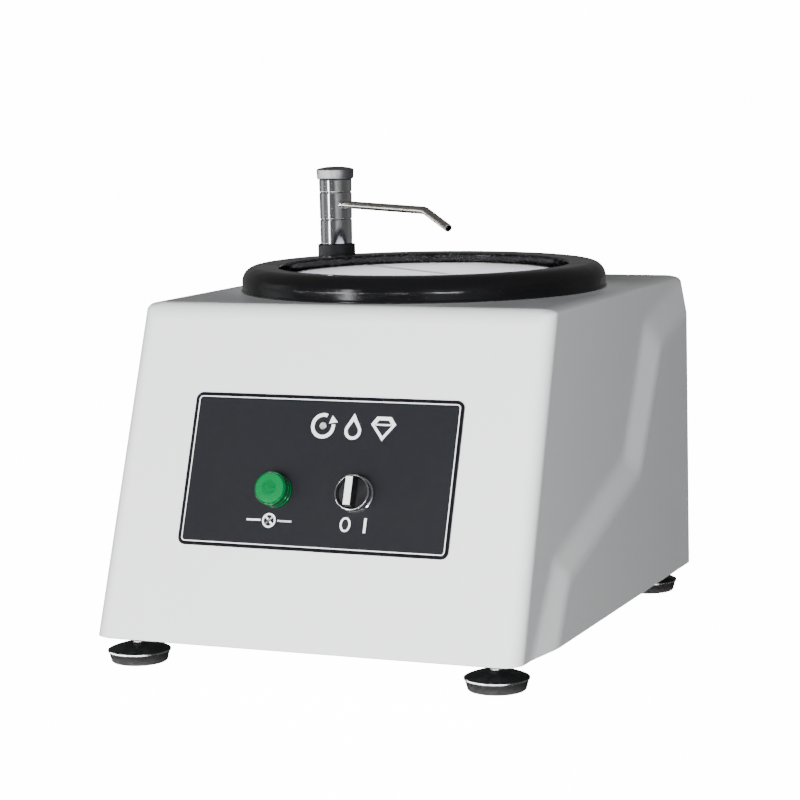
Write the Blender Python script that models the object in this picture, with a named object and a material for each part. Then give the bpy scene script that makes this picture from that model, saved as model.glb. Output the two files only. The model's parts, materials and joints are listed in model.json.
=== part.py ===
"""Single-disc bench polishing machine.

Metres, +Z up, X to the right, +Y to the back. The origin lies on the bench, under the middle of
the whole machine. Heights in the faucet and the disc well are counted from the deck, the flat top
of the shell. Every named object is one physical piece.
"""
import math

import bmesh
import bpy
from mathutils import Matrix, Vector

# ---------------------------------------------------------------- driving dimensions
GAP = 0.0003                 # clearance kept between touching pieces

BODY_DEPTH = 0.4606
BODY_HEIGHT = 0.2655
REAR_REACH = 0.018           # how far the drain outlet stands behind the shell
FOOT_HEIGHT = 0.024
FRONT_LEAN = 0.0978          # how far the top front edge lies behind the bottom one
WALL = 0.004
EDGE_ROUND = 0.014
EDGE_STEPS = 3

FRONT_Y = -(BODY_DEPTH + REAR_REACH) / 2
REAR_Y = FRONT_Y + BODY_DEPTH
DECK_Z = FOOT_HEIGHT + BODY_HEIGHT

# Flank of the shell: the recessed face and the raised face, as half widths at the front bottom
# corner with their change per metre backwards and upwards.
RECESSED_FACE = (0.1847, 0.0055, -0.0125)
RAISED_FACE = (0.1912, 0.0, -0.0064)
# The sloped band between them: its recessed edge and its raised edge, as (back, up) from the
# bottom front edge of the shell.
BAND_RECESSED = ((0.0305, 0.0), (0.0862, 0.0686), (0.2691, 0.1241), (0.3357, 0.2341))
BAND_RAISED = ((0.0743, 0.0), (0.1050, 0.0486), (0.2977, 0.1050), (0.3659, 0.2108))
BAND_END_DROP = 0.0321       # depth of the band where it runs out on the rear edge

DISC_Y = FRONT_Y + 0.2789
RING_RADIUS = 0.160
LIP_RADIUS = 0.127
RING_HEIGHT = 0.0218
DECK_HOLE_RADIUS = 0.138
BOWL_DEPTH = 0.038
BOWL_WALL = 0.003
BOWL_RADIUS = 0.1365
BOWL_FLANGE_RADIUS = 0.148
COLLAR_RADIUS = 0.032
COLLAR_BORE = 0.028
COLLAR_TOP = -0.017
PLATEN_RADIUS = 0.115
PLATEN_TOP = 0.0112
CLOTH_THICKNESS = 0.0013
CLAMP_WALL = 0.002
CLAMP_HEIGHT = 0.009

SPINDLE_RADIUS = 0.008
MOTOR_RADIUS = 0.066
MOTOR_PLATE_TOP = -0.044
MOTOR_PLATE_THICKNESS = 0.006
MOTOR_FLANGE_THICKNESS = 0.012
MOTOR_LENGTH = 0.108
MOTOR_CAP_THICKNESS = 0.016
BEARING_RADIUS = 0.020
BEARING_WIDTH = 0.010
STATOR_BORE = 0.034
STATOR_LENGTH = 0.070
POST_COUNT = 3
POST_RADIUS = 0.006
POST_CIRCLE = 0.084

PLATE_THICKNESS = 0.003
PLATE_RECESS = 0.002         # base plate above the bottom edge of the shell
FOOT_X = 0.157
FOOT_FRONT_Y = FRONT_Y + 0.0285
FOOT_REAR_Y = FRONT_Y + 0.430
FOOT_RADIUS = 0.026
STUD_RADIUS = 0.005
STUD_TOP = 0.062

DRAIN_ANGLE = math.radians(60)
DRAIN_CIRCLE = 0.115
DRAIN_BORE = 0.006
DRAIN_HEIGHT = FOOT_HEIGHT + 0.045

FAUCET_X = -0.137
FAUCET_Y = FRONT_Y + 0.400
FAUCET_RADIUS = 0.0154
FAUCET_PIN_RADIUS = 0.0065
FAUCET_SHANK_RADIUS = 0.008
PEDESTAL_RADIUS = 0.0175
PEDESTAL_TOP = 0.029
SWIVEL_BOTTOM = 0.0523
SWIVEL_TOP = 0.0777
BONNET_TOP = 0.0897
CAP_TOP = 0.1015
CAP_RADIUS = 0.0176
SPOUT_HEIGHT = 0.0665
SPOUT_RADIUS = 0.0035
SPOUT_BORE = 0.0027
SPOUT_REACH = 0.167          # from the faucet's axis to the bend
SPOUT_TIP_REACH = 0.2075
SPOUT_TIP_HEIGHT = 0.0526
SPOUT_ANGLE = math.radians(-38)
INLET_HEIGHT = FOOT_HEIGHT + 0.150

PANEL_WIDTH = 0.236
PANEL_HEIGHT = 0.127
PANEL_THICKNESS = 0.0015
PANEL_CORNER = 0.005
PANEL_CENTRE_UP = 0.144      # along the slope, from the bottom edge of the shell
CONTROL_X = 0.0354
CONTROL_DROP = -0.016        # below the panel's centre
CONTROL_HOLE_RADIUS = 0.0113
LENS_RADIUS = 0.0125
LAMP_RADIUS = 0.0142
BEZEL_RADIUS = 0.0150
HANDLE_WIDTH = 0.0066
HANDLE_LENGTH = 0.0240
HANDLE_TOP = 0.0205

CUT_REACH = 0.020            # how far a cutting tool reaches past the wall it cuts
LARGE_ROUND = 48             # sides of a large turned piece
MEDIUM_ROUND = 24
SMALL_ROUND = 18
FINE_ROUND = 14
TUBE_ROUND = 10
SMOOTH_ANGLE = math.radians(40)

# colour, roughness, metallic
FINISHES = {
    "white_gelcoat": ((0.80, 0.81, 0.83), 0.35, 0.0),
    "gloss_black": ((0.010, 0.010, 0.011), 0.12, 0.0),
    "matt_black": ((0.020, 0.020, 0.022), 0.55, 0.0),
    "rubber": ((0.016, 0.016, 0.016), 0.70, 0.0),
    "black_enamel": ((0.020, 0.020, 0.022), 0.25, 0.0),
    "cloth": ((0.78, 0.76, 0.80), 0.95, 0.0),
    "aluminium": ((0.70, 0.71, 0.72), 0.35, 1.0),
    "chrome": ((0.78, 0.80, 0.82), 0.08, 1.0),
    "satin_grey": ((0.36, 0.37, 0.38), 0.45, 1.0),
    "steel": ((0.45, 0.46, 0.48), 0.40, 1.0),
    "brass": ((0.70, 0.52, 0.25), 0.30, 1.0),
    "panel_black": ((0.033, 0.034, 0.040), 0.45, 0.0),
    "green_lens": ((0.02, 0.55, 0.16), 0.20, 0.0),
    "green_collar": ((0.01, 0.16, 0.05), 0.15, 0.0),
    "white_mark": ((0.78, 0.79, 0.82), 0.45, 0.0),
    "motor_enamel": ((0.10, 0.13, 0.17), 0.45, 0.0),
    "copper": ((0.55, 0.26, 0.12), 0.40, 1.0),
    "hose": ((0.55, 0.57, 0.58), 0.35, 0.0),
}


# ---------------------------------------------------------------- helpers
def clear_scene():
    for thing in list(bpy.data.objects):
        bpy.data.objects.remove(thing, do_unlink=True)


def finish(name):
    material = bpy.data.materials.get(name)
    if material:
        return material
    colour, roughness, metallic = FINISHES[name]
    material = bpy.data.materials.new(name)
    material.use_nodes = True
    shader = material.node_tree.nodes["Principled BSDF"]
    shader.inputs["Base Color"].default_value = (*colour, 1.0)
    shader.inputs["Roughness"].default_value = roughness
    shader.inputs["Metallic"].default_value = metallic
    return material


def add_piece(name, bm, material, place=(0, 0, 0), turn=(0, 0, 0), parent=None):
    bmesh.ops.recalc_face_normals(bm, faces=bm.faces)
    mesh = bpy.data.meshes.new(name)
    bm.to_mesh(mesh)
    bm.free()
    mesh.shade_smooth()
    mesh.set_sharp_from_angle(angle=SMOOTH_ANGLE)
    piece = bpy.data.objects.new(name, mesh)
    bpy.context.collection.objects.link(piece)
    piece.location = place
    piece.rotation_euler = turn
    piece.parent = parent
    if material:
        mesh.materials.append(finish(material))
    return piece


def add_frame(name, place, turn=(0, 0, 0)):
    frame = bpy.data.objects.new(name, None)
    bpy.context.collection.objects.link(frame)
    frame.location = place
    frame.rotation_euler = turn
    return frame


def turned_mesh(profile, sides, closed):
    """Turn a profile of (radius, height) points about Z; a point on the axis becomes one vertex."""
    bm = bmesh.new()
    columns = []
    for radius, height in profile:
        if radius == 0:
            columns.append([bm.verts.new((0, 0, height))] * sides)
            continue
        angles = [2 * math.pi * i / sides for i in range(sides)]
        columns.append([bm.verts.new((radius * math.cos(a), radius * math.sin(a), height)) for a in angles])
    pairs = list(zip(columns, columns[1:]))
    if closed:
        pairs.append((columns[-1], columns[0]))
    for upper, lower in pairs:
        for i in range(sides):
            j = (i + 1) % sides
            corners = [upper[i], upper[j], lower[j], lower[i]]
            bm.faces.new(list(dict.fromkeys(corners)))
    return bm


def turned(name, profile, material, sides=SMALL_ROUND, closed=False, **where):
    """A solid turned piece, or a ring where closed joins the profile's ends."""
    return add_piece(name, turned_mesh(profile, sides, closed), material, **where)


def ring_profile(outer, inner, bottom, top):
    return [(outer, top), (outer, bottom), (inner, bottom), (inner, top)]


def plug_profile(radius, bottom, top):
    return [(0, top), (radius, top), (radius, bottom), (0, bottom)]


def box_mesh(low, high):
    bm = bmesh.new()
    bmesh.ops.create_cube(bm, size=1.0)
    size = Vector(high) - Vector(low)
    centre = (Vector(high) + Vector(low)) / 2
    bmesh.ops.transform(bm, matrix=Matrix.Translation(centre) @ Matrix.Diagonal((*size, 1.0)), verts=bm.verts)
    return bm


def round_edges(bm, edges, radius, steps=EDGE_STEPS):
    bmesh.ops.recalc_face_normals(bm, faces=bm.faces)
    bmesh.ops.bevel(bm, geom=list(edges), offset=radius, segments=steps, profile=0.5,
                    affect='EDGES', offset_type='OFFSET')


def upright_edges(bm):
    def is_upright(edge):
        a, b = (v.co for v in edge.verts)
        return abs(a.x - b.x) < 1e-6 and abs(a.y - b.y) < 1e-6
    return [edge for edge in bm.edges if is_upright(edge)]


def combine(piece, tools, operation):
    """Cut the tools out of the piece, or join them to it; the tools themselves stay hidden."""
    for tool in tools:
        tool.hide_render = True
        tool.display_type = 'WIRE'
        step = piece.modifiers.new(tool.name, 'BOOLEAN')
        step.operation = operation
        step.object = tool
    return piece


def rounded_route(corners, bend_radius, steps=5):
    """A route through the corners, each inner corner rounded by an arc of the bend radius."""
    corners = [Vector(c) for c in corners]
    route = [corners[0]]
    for before, corner, after in zip(corners, corners[1:], corners[2:]):
        to_start = (before - corner).normalized()
        to_end = (after - corner).normalized()
        half = to_start.angle(to_end) / 2
        setback = bend_radius / math.tan(half)
        centre = corner + (to_start + to_end).normalized() * bend_radius / math.sin(half)
        start = (corner + to_start * setback - centre).normalized()
        end = (corner + to_end * setback - centre).normalized()
        for i in range(steps + 1):
            route.append(centre + start.slerp(end, i / steps).normalized() * bend_radius)
    return route + [corners[-1]]


def tube_mesh(route, outer, inner, sides=TUBE_ROUND):
    """A hollow tube along a route, open at both ends."""
    bm = bmesh.new()
    walls = {outer: [], inner: []}
    side = None
    for i, point in enumerate(route):
        ahead = route[min(i + 1, len(route) - 1)] - route[max(i - 1, 0)]
        ahead.normalize()
        if side is None:
            side = ahead.orthogonal().normalized()
        side = (side - ahead * side.dot(ahead)).normalized()
        other = ahead.cross(side)
        for radius, rings in walls.items():
            angles = [2 * math.pi * k / sides for k in range(sides)]
            rings.append([bm.verts.new(point + (side * math.cos(a) + other * math.sin(a)) * radius)
                          for a in angles])
    outside, inside = walls[outer], walls[inner]
    joins = list(zip(outside, outside[1:])) + list(zip(inside, inside[1:]))
    joins += [(outside[0], inside[0]), (outside[-1], inside[-1])]
    for first, second in joins:
        for i in range(sides):
            j = (i + 1) % sides
            bm.faces.new((first[i], first[j], second[j], second[i]))
    return bm


def nut_mesh(across_corners, bore, bottom, top):
    """A hexagon nut about Z."""
    return turned_mesh(ring_profile(across_corners, bore, bottom, top), 6, True)


# ---------------------------------------------------------------- shell
def flank_half_width(face, back, up):
    front, per_back, per_up = face
    return front + per_back * back + per_up * up


def front_back(up):
    """How far back the leaning front face is at a height above the shell's bottom edge."""
    return FRONT_LEAN * up / BODY_HEIGHT


def shell_mesh(inset, bottom, rounding):
    """The outside of the shell moved inwards by an inset, closed at the bottom height."""
    top = BODY_HEIGHT - inset
    front_inset = inset * math.hypot(FRONT_LEAN, BODY_HEIGHT) / BODY_HEIGHT
    rear = BODY_DEPTH - inset
    bm = bmesh.new()

    def corner(side, face, back, up):
        half = flank_half_width(face, back, up) - inset
        return bm.verts.new((side * half, FRONT_Y + back, FOOT_HEIGHT + up))

    def flank(side):
        front = [corner(side, RECESSED_FACE, front_back(up) + front_inset, up) for up in (bottom, top)]
        inner = [corner(side, RECESSED_FACE, back, max(up, bottom)) for back, up in BAND_RECESSED]
        outer = [corner(side, RAISED_FACE, back, max(up, bottom)) for back, up in BAND_RAISED]
        inner.append(corner(side, RECESSED_FACE, rear, top))
        outer.append(corner(side, RAISED_FACE, rear, top - BAND_END_DROP))
        foot = corner(side, RAISED_FACE, rear, bottom)
        bm.faces.new([front[0], front[1]] + inner[::-1])
        bm.faces.new(outer + [foot])
        for i in range(len(inner) - 1):
            bm.faces.new((inner[i], inner[i + 1], outer[i + 1], outer[i]))
        return front, inner, outer, foot

    right, left = flank(1), flank(-1)
    (r_front, r_inner, r_outer, r_foot), (l_front, l_inner, l_outer, l_foot) = right, left
    bm.faces.new((r_front[0], r_front[1], l_front[1], l_front[0]))
    bm.faces.new((r_front[1], r_inner[-1], l_inner[-1], l_front[1]))
    bm.faces.new((r_inner[-1], r_outer[-1], r_foot, l_foot, l_outer[-1], l_inner[-1]))
    bm.faces.new((r_front[0], r_inner[0], r_outer[0], r_foot, l_foot, l_outer[0], l_inner[0], l_front[0]))

    def is_rounded(edge):
        a, b = (v.co for v in edge.verts)
        low = FOOT_HEIGHT + bottom
        leans = [abs(p.y - FRONT_Y - front_back(p.z - FOOT_HEIGHT) - front_inset) for p in (a, b)]
        on_front = max(leans) < 1e-5
        on_rear = max(abs(p.y - FRONT_Y - rear) for p in (a, b)) < 1e-5
        on_deck = max(abs(p.z - FOOT_HEIGHT - top) for p in (a, b)) < 1e-5
        at_bottom = max(abs(p.z - low) for p in (a, b)) < 1e-5
        return (on_front or on_rear or on_deck) and not at_bottom

    round_edges(bm, [e for e in bm.edges if is_rounded(e)], rounding)
    return bm


def make_shell(panel_frame):
    shell = add_piece("shell", shell_mesh(0, 0, EDGE_ROUND), "white_gelcoat")
    hollow = add_piece("shell_hollow", shell_mesh(WALL, -WALL, EDGE_ROUND - WALL), None)
    deck_hole = turned("deck_hole", plug_profile(DECK_HOLE_RADIUS, -CUT_REACH, CUT_REACH), None, LARGE_ROUND,
                       place=(0, DISC_Y, DECK_Z))
    faucet_hole = plug_profile(FAUCET_SHANK_RADIUS + GAP, -CUT_REACH, CUT_REACH)
    faucet_hole = turned("faucet_hole", faucet_hole, None, place=(FAUCET_X, FAUCET_Y, DECK_Z))
    tools = [hollow, deck_hole, faucet_hole]
    for side in (-1, 1):
        hole = plug_profile(CONTROL_HOLE_RADIUS, -CUT_REACH, CUT_REACH)
        tools.append(turned(f"control_hole_{side}", hole, None, parent=panel_frame,
                            place=(side * CONTROL_X, CONTROL_DROP, 0)))
    for name, x, z, radius in REAR_FITTINGS:
        hole = plug_profile(radius + GAP, -CUT_REACH, CUT_REACH)
        tools.append(turned(f"{name}_hole", hole, None, place=(x, REAR_Y, z), turn=FACING_REAR))
    return combine(shell, tools, 'DIFFERENCE')


REAR_FITTINGS = (
    ("drain_outlet", DRAIN_CIRCLE * math.cos(DRAIN_ANGLE), DRAIN_HEIGHT, 0.0095),
    ("water_inlet", FAUCET_X, INLET_HEIGHT, 0.007),
    ("cable_gland", 0.125, DRAIN_HEIGHT, 0.008),
)


# ---------------------------------------------------------------- base plate and feet
def foot_places():
    return {
        "front_left": (-FOOT_X, FOOT_FRONT_Y),
        "front_right": (FOOT_X, FOOT_FRONT_Y),
        "rear_left": (-FOOT_X, FOOT_REAR_Y),
        "rear_right": (FOOT_X, FOOT_REAR_Y),
    }


PLATE_BOTTOM = FOOT_HEIGHT + PLATE_RECESS
PLATE_TOP = PLATE_BOTTOM + PLATE_THICKNESS
PLATE_HALF_WIDTH = 0.1795
PLATE_FRONT_Y = FRONT_Y + 0.0085
PLATE_REAR_Y = REAR_Y - WALL - 0.0015


def make_base_plate():
    low = (-PLATE_HALF_WIDTH, PLATE_FRONT_Y, PLATE_BOTTOM)
    bm = box_mesh(low, (PLATE_HALF_WIDTH, PLATE_REAR_Y, PLATE_TOP))
    round_edges(bm, upright_edges(bm), EDGE_ROUND)
    plate = add_piece("base_plate", bm, "steel")
    tools = []
    for name, (x, y) in foot_places().items():
        hole = plug_profile(STUD_RADIUS + GAP, 0, CUT_REACH)
        place = (x, y, PLATE_BOTTOM - CUT_REACH / 2)
        tools.append(turned(f"{name}_stud_hole", hole, None, FINE_ROUND, place=place))
    return combine(plate, tools, 'DIFFERENCE')


PAD_HEIGHT = 0.0085
PAD_TOP_RADIUS = FOOT_RADIUS - 0.0008
PAD_LOW_RADIUS = FOOT_RADIUS - 0.0030
PAD_RECESS_RADIUS = 0.0200
PAD_RECESS_FLOOR = PAD_HEIGHT - 0.002
SPIGOT_RADIUS = 0.0195       # the part of the cap that sits in the pad
RIM_TOP = 0.0102
DOME = ((0.0100, 0.0150), (0.0200, 0.0125))
DOME_TOP = 0.0155
LOCKNUT_RADIUS = 0.0098      # across corners
LOCKNUT_HEIGHT = 0.0048
THREAD_CLEARANCE = 0.0009    # of the lock nut round the plain stud


def make_foot(name, x, y):
    pad = [(0, PAD_RECESS_FLOOR), (PAD_RECESS_RADIUS, PAD_RECESS_FLOOR), (PAD_RECESS_RADIUS, PAD_HEIGHT),
           (PAD_TOP_RADIUS, PAD_HEIGHT), (PAD_LOW_RADIUS, 0), (0, 0)]
    turned(f"foot_{name}_pad", pad, "rubber", SMALL_ROUND, place=(x, y, 0))
    cap_low = PAD_RECESS_FLOOR + GAP
    rim_low = PAD_HEIGHT + GAP
    cap = [(0, STUD_TOP), (STUD_RADIUS, STUD_TOP), (STUD_RADIUS, DOME_TOP), *DOME, (FOOT_RADIUS, RIM_TOP),
           (FOOT_RADIUS, rim_low), (SPIGOT_RADIUS, rim_low), (SPIGOT_RADIUS, cap_low), (0, cap_low)]
    turned(f"foot_{name}_stud", cap, "black_enamel", SMALL_ROUND, place=(x, y, 0))
    nut_top = PLATE_BOTTOM - GAP
    nut = nut_mesh(LOCKNUT_RADIUS, STUD_RADIUS + THREAD_CLEARANCE, nut_top - LOCKNUT_HEIGHT, nut_top)
    add_piece(f"foot_{name}_locknut", nut, "steel", place=(x, y, 0))


# ---------------------------------------------------------------- motor and spindle
AT_DISC = (0, DISC_Y, 0)
MOTOR_TOP = DECK_Z + MOTOR_PLATE_TOP - MOTOR_PLATE_THICKNESS
HOUSING_TOP = MOTOR_TOP - GAP - MOTOR_FLANGE_THICKNESS
HOUSING_BOTTOM = HOUSING_TOP - GAP - MOTOR_LENGTH
SHAFT_BORE = SPINDLE_RADIUS + GAP
MOTOR_PLATE_RADIUS = 0.095
MOTOR_PLATE_BORE = 0.024
MOTOR_WALL = 0.006
BEARING_LID = 0.002          # the flange over the upper bearing
BEARING_LID_CLEARANCE = 0.001
END_CAP_FLOOR = 0.003
END_CAP_CHAMFER = (0.008, 0.004)
AIR_GAP = 0.0006             # between stator and rotor
SPINDLE_TOP = DECK_Z - 0.0062


def make_motor_mount():
    plate = ring_profile(MOTOR_PLATE_RADIUS, MOTOR_PLATE_BORE, MOTOR_TOP, DECK_Z + MOTOR_PLATE_TOP)
    turned("motor_plate", plate, "steel", MEDIUM_ROUND, True, place=AT_DISC)
    for i in range(POST_COUNT):
        angle = math.radians(90 + 360 * i / POST_COUNT)
        place = (POST_CIRCLE * math.cos(angle), DISC_Y + POST_CIRCLE * math.sin(angle), 0)
        post = plug_profile(POST_RADIUS, PLATE_TOP + GAP, MOTOR_TOP - GAP)
        turned(f"motor_post_{i + 1}", post, "steel", TUBE_ROUND, place=place)


def make_motor():
    flange_top = MOTOR_TOP - GAP
    seat = BEARING_RADIUS + GAP
    lid_low = flange_top - BEARING_LID
    lid_bore = SHAFT_BORE + BEARING_LID_CLEARANCE
    flange = [(MOTOR_RADIUS, flange_top), (MOTOR_RADIUS, HOUSING_TOP), (seat, HOUSING_TOP),
              (seat, lid_low), (lid_bore, lid_low), (lid_bore, flange_top)]
    turned("motor_flange", flange, "motor_enamel", MEDIUM_ROUND, True, place=AT_DISC)
    housing = ring_profile(MOTOR_RADIUS, MOTOR_RADIUS - MOTOR_WALL, HOUSING_BOTTOM, HOUSING_TOP - GAP)
    turned("motor_housing", housing, "motor_enamel", MEDIUM_ROUND, True, place=AT_DISC)
    cap_top = HOUSING_BOTTOM - GAP
    cap_bottom = cap_top - MOTOR_CAP_THICKNESS
    cap_floor = cap_bottom + END_CAP_FLOOR
    chamfer_in, chamfer_up = END_CAP_CHAMFER
    end_cap = [(0, cap_floor), (seat, cap_floor), (seat, cap_top), (MOTOR_RADIUS, cap_top),
               (MOTOR_RADIUS, cap_bottom + chamfer_up), (MOTOR_RADIUS - chamfer_in, cap_bottom),
               (0, cap_bottom)]
    turned("motor_end_cap", end_cap, "motor_enamel", MEDIUM_ROUND, place=AT_DISC)
    middle = (HOUSING_TOP + HOUSING_BOTTOM) / 2
    low, high = middle - STATOR_LENGTH / 2, middle + STATOR_LENGTH / 2
    stator = ring_profile(MOTOR_RADIUS - MOTOR_WALL - GAP, STATOR_BORE, low, high)
    turned("motor_stator", stator, "copper", MEDIUM_ROUND, True, place=AT_DISC)
    rotor = ring_profile(STATOR_BORE - AIR_GAP, SHAFT_BORE, low, high)
    turned("motor_rotor", rotor, "steel", MEDIUM_ROUND, True, place=AT_DISC)
    lower = cap_floor + GAP
    upper_race = ring_profile(BEARING_RADIUS, SHAFT_BORE, HOUSING_TOP, HOUSING_TOP + BEARING_WIDTH - GAP)
    turned("bearing_upper", upper_race, "steel", SMALL_ROUND, True, place=AT_DISC)
    lower_race = ring_profile(BEARING_RADIUS, SHAFT_BORE, lower, lower + BEARING_WIDTH)
    turned("bearing_lower", lower_race, "steel", SMALL_ROUND, True, place=AT_DISC)
    turned("spindle", plug_profile(SPINDLE_RADIUS, lower, SPINDLE_TOP), "steel", SMALL_ROUND, place=AT_DISC)


SEAL_HEIGHT = 0.006
SEAL_LIP = ((0.0125, 0.004), (0.0160, 0.0005), (0.0150, 0.0))    # radius, height over the motor plate
SEAL_TOP_RADIUS = 0.0110


def make_shaft_seal():
    low = MOTOR_TOP + GAP
    seal = [(radius, low + height) for radius, height in SEAL_LIP]
    seal += [(SHAFT_BORE, low), (SHAFT_BORE, low + SEAL_HEIGHT), (SEAL_TOP_RADIUS, low + SEAL_HEIGHT)]
    turned("shaft_seal", seal, "rubber", SMALL_ROUND, True, place=AT_DISC)


# ---------------------------------------------------------------- disc and water tray
ON_DECK = (0, DISC_Y, DECK_Z)
HUB_TOP = -0.0025
HUB_BOTTOM = -0.022
HUB_TOP_RADIUS = 0.0140
HUB_BOTTOM_RADIUS = 0.0165
HUB_BORE_TOP = -0.0057
SOCKET_BOTTOM = -0.0140      # the boss under the disc, round the hub
BOSS_RADIUS = 0.0240
BOSS_ROOT_RADIUS = 0.0270
DISC_UNDERSIDE = -0.0015
DISC_CHAMFER = 0.002
CLAMP_OVERLAP = 0.0006       # the clamp ring stands above the cloth
CLAMP_CLEARANCE = 0.0005


def make_disc():
    hub = [(0, HUB_TOP), (HUB_TOP_RADIUS, HUB_TOP), (HUB_BOTTOM_RADIUS, HUB_BOTTOM), (SHAFT_BORE, HUB_BOTTOM),
           (SHAFT_BORE, HUB_BORE_TOP), (0, HUB_BORE_TOP)]
    turned("taper_hub", hub, "brass", SMALL_ROUND, place=ON_DECK)
    slope = (HUB_BOTTOM_RADIUS - HUB_TOP_RADIUS) / (HUB_TOP - HUB_BOTTOM)
    socket = HUB_TOP_RADIUS + GAP
    mouth = socket + slope * (HUB_TOP - SOCKET_BOTTOM)
    platen = [(0, PLATEN_TOP), (PLATEN_RADIUS, PLATEN_TOP), (PLATEN_RADIUS, DISC_UNDERSIDE + DISC_CHAMFER),
              (PLATEN_RADIUS - DISC_CHAMFER, DISC_UNDERSIDE), (BOSS_ROOT_RADIUS, DISC_UNDERSIDE),
              (BOSS_RADIUS, SOCKET_BOTTOM), (mouth, SOCKET_BOTTOM), (socket, HUB_TOP),
              (socket, HUB_TOP + GAP), (0, HUB_TOP + GAP)]
    turned("platen", platen, "aluminium", LARGE_ROUND, place=ON_DECK)
    cloth_top = PLATEN_TOP + GAP + CLOTH_THICKNESS
    turned("polishing_cloth", plug_profile(PLATEN_RADIUS, PLATEN_TOP + GAP, cloth_top), "cloth", LARGE_ROUND,
           place=ON_DECK)
    clamp_top = cloth_top + CLAMP_OVERLAP
    inner = PLATEN_RADIUS + CLAMP_CLEARANCE
    clamp = ring_profile(inner + CLAMP_WALL, inner, clamp_top - CLAMP_HEIGHT, clamp_top)
    turned("clamp_ring", clamp, "aluminium", LARGE_ROUND, True, place=ON_DECK)


FLANGE_THICKNESS = 0.0025
BOWL_CHAMFER = 0.008
BOWL_CORNER = 0.007
COLLAR_CHAMFER = 0.001
DRAIN_HOLE_RADIUS = 0.0083
DRAIN_STEM_RADIUS = 0.0080
DRAIN_STEM_LENGTH = 0.032
DRAIN_FLANGE_RADIUS = 0.0115
DRAIN_FLANGE_TOP = 0.002
DRAIN_DISH = 0.0015
DRAIN_X = DRAIN_CIRCLE * math.cos(DRAIN_ANGLE)
DRAIN_Y = DISC_Y + DRAIN_CIRCLE * math.sin(DRAIN_ANGLE)


def make_bowl():
    wall_in = BOWL_RADIUS - BOWL_WALL
    floor = -BOWL_DEPTH
    under = floor - BOWL_WALL
    flange_top = GAP + FLANGE_THICKNESS
    bowl = [(BOWL_FLANGE_RADIUS, flange_top), (BOWL_FLANGE_RADIUS, GAP), (BOWL_RADIUS, GAP),
            (BOWL_RADIUS, under + BOWL_CHAMFER), (BOWL_RADIUS - BOWL_CHAMFER, under), (COLLAR_BORE, under),
            (COLLAR_BORE, COLLAR_TOP), (COLLAR_RADIUS - COLLAR_CHAMFER, COLLAR_TOP), (COLLAR_RADIUS, floor),
            (wall_in - BOWL_CORNER, floor), (wall_in, floor + BOWL_CORNER), (wall_in, flange_top)]
    bowl = turned("bowl", bowl, "gloss_black", LARGE_ROUND, True, place=ON_DECK)
    hole = plug_profile(DRAIN_HOLE_RADIUS, -CUT_REACH / 2, CUT_REACH / 2)
    hole = turned("drain_hole", hole, None, place=(DRAIN_X, DRAIN_Y, DECK_Z + floor))
    combine(bowl, [hole], 'DIFFERENCE')
    stem_low = floor - DRAIN_STEM_LENGTH
    fitting = [(DRAIN_FLANGE_RADIUS, floor + GAP), (DRAIN_FLANGE_RADIUS, floor + DRAIN_FLANGE_TOP),
               (DRAIN_BORE, floor + DRAIN_DISH), (DRAIN_BORE, stem_low), (DRAIN_STEM_RADIUS, stem_low),
               (DRAIN_STEM_RADIUS, floor + GAP)]
    turned("drain_fitting", fitting, "matt_black", FINE_ROUND, True, place=(DRAIN_X, DRAIN_Y, DECK_Z))


def arc(centre, radius, start, end, steps):
    """Points on an arc in the profile plane, angles in degrees."""
    angles = [math.radians(start + (end - start) * i / steps) for i in range(steps + 1)]
    return [(centre[0] + radius * math.cos(a), centre[1] + radius * math.sin(a)) for a in angles]


SHOULDER_RADIUS = 0.013
RING_WALL = 0.003
RING_FALL = 0.0008           # the top falls by this much towards the lip
LIP_CHAMFER = 0.002
SKIRT_BOTTOM = -0.006


def make_splash_ring():
    """A hollow moulding: outer wall, round shoulder, gently sloping top, lip and inner skirt."""
    centre = (RING_RADIUS - SHOULDER_RADIUS, RING_HEIGHT - SHOULDER_RADIUS)
    lip_top = RING_HEIGHT - RING_FALL
    skirt_back = LIP_RADIUS + RING_WALL
    outside = arc(centre, SHOULDER_RADIUS, 0, 90, 4)
    lip = [(LIP_RADIUS + LIP_CHAMFER, lip_top), (LIP_RADIUS, lip_top - LIP_CHAMFER)]
    skirt = [(LIP_RADIUS, SKIRT_BOTTOM), (skirt_back, SKIRT_BOTTOM), (skirt_back, lip_top - RING_WALL)]
    inside = arc(centre, SHOULDER_RADIUS - RING_WALL, 90, 0, 3)
    profile = [(RING_RADIUS, GAP)] + outside + lip + skirt + inside + [(RING_RADIUS - RING_WALL, GAP)]
    turned("splash_ring", profile, "gloss_black", LARGE_ROUND, True, place=ON_DECK)


# ---------------------------------------------------------------- faucet and plumbing
PIN_HEIGHT = 0.006           # above the swivelling collar
SHANK_END = -0.045
SHANK_STEP = -0.030
SHANK_END_RADIUS = 0.0055
SHANK_CHAMFER = 0.002
FAUCET_NUT_RADIUS = 0.0145
FAUCET_NUT_HEIGHT = 0.008
FAUCET_NUT_CLEARANCE = 0.0015
STEM_RADIUS = 0.003
STEM_BORE = STEM_RADIUS + GAP
STEM_LOW = SWIVEL_TOP + PIN_HEIGHT + 2 * GAP
STEM_HIGH = BONNET_TOP + 0.0065
CAP_DOME = ((0, 0.0), (0.0100, 0.0004))      # radius, depth below the cap's top
CAP_CHAMFER = 0.0015
CAP_EDGE_DROP = 0.0030
SPOUT_ROOT = 0.0098          # from the faucet's axis
SOCKET_DEPTH = 0.0095
SPOUT_BEND = 0.016


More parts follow.
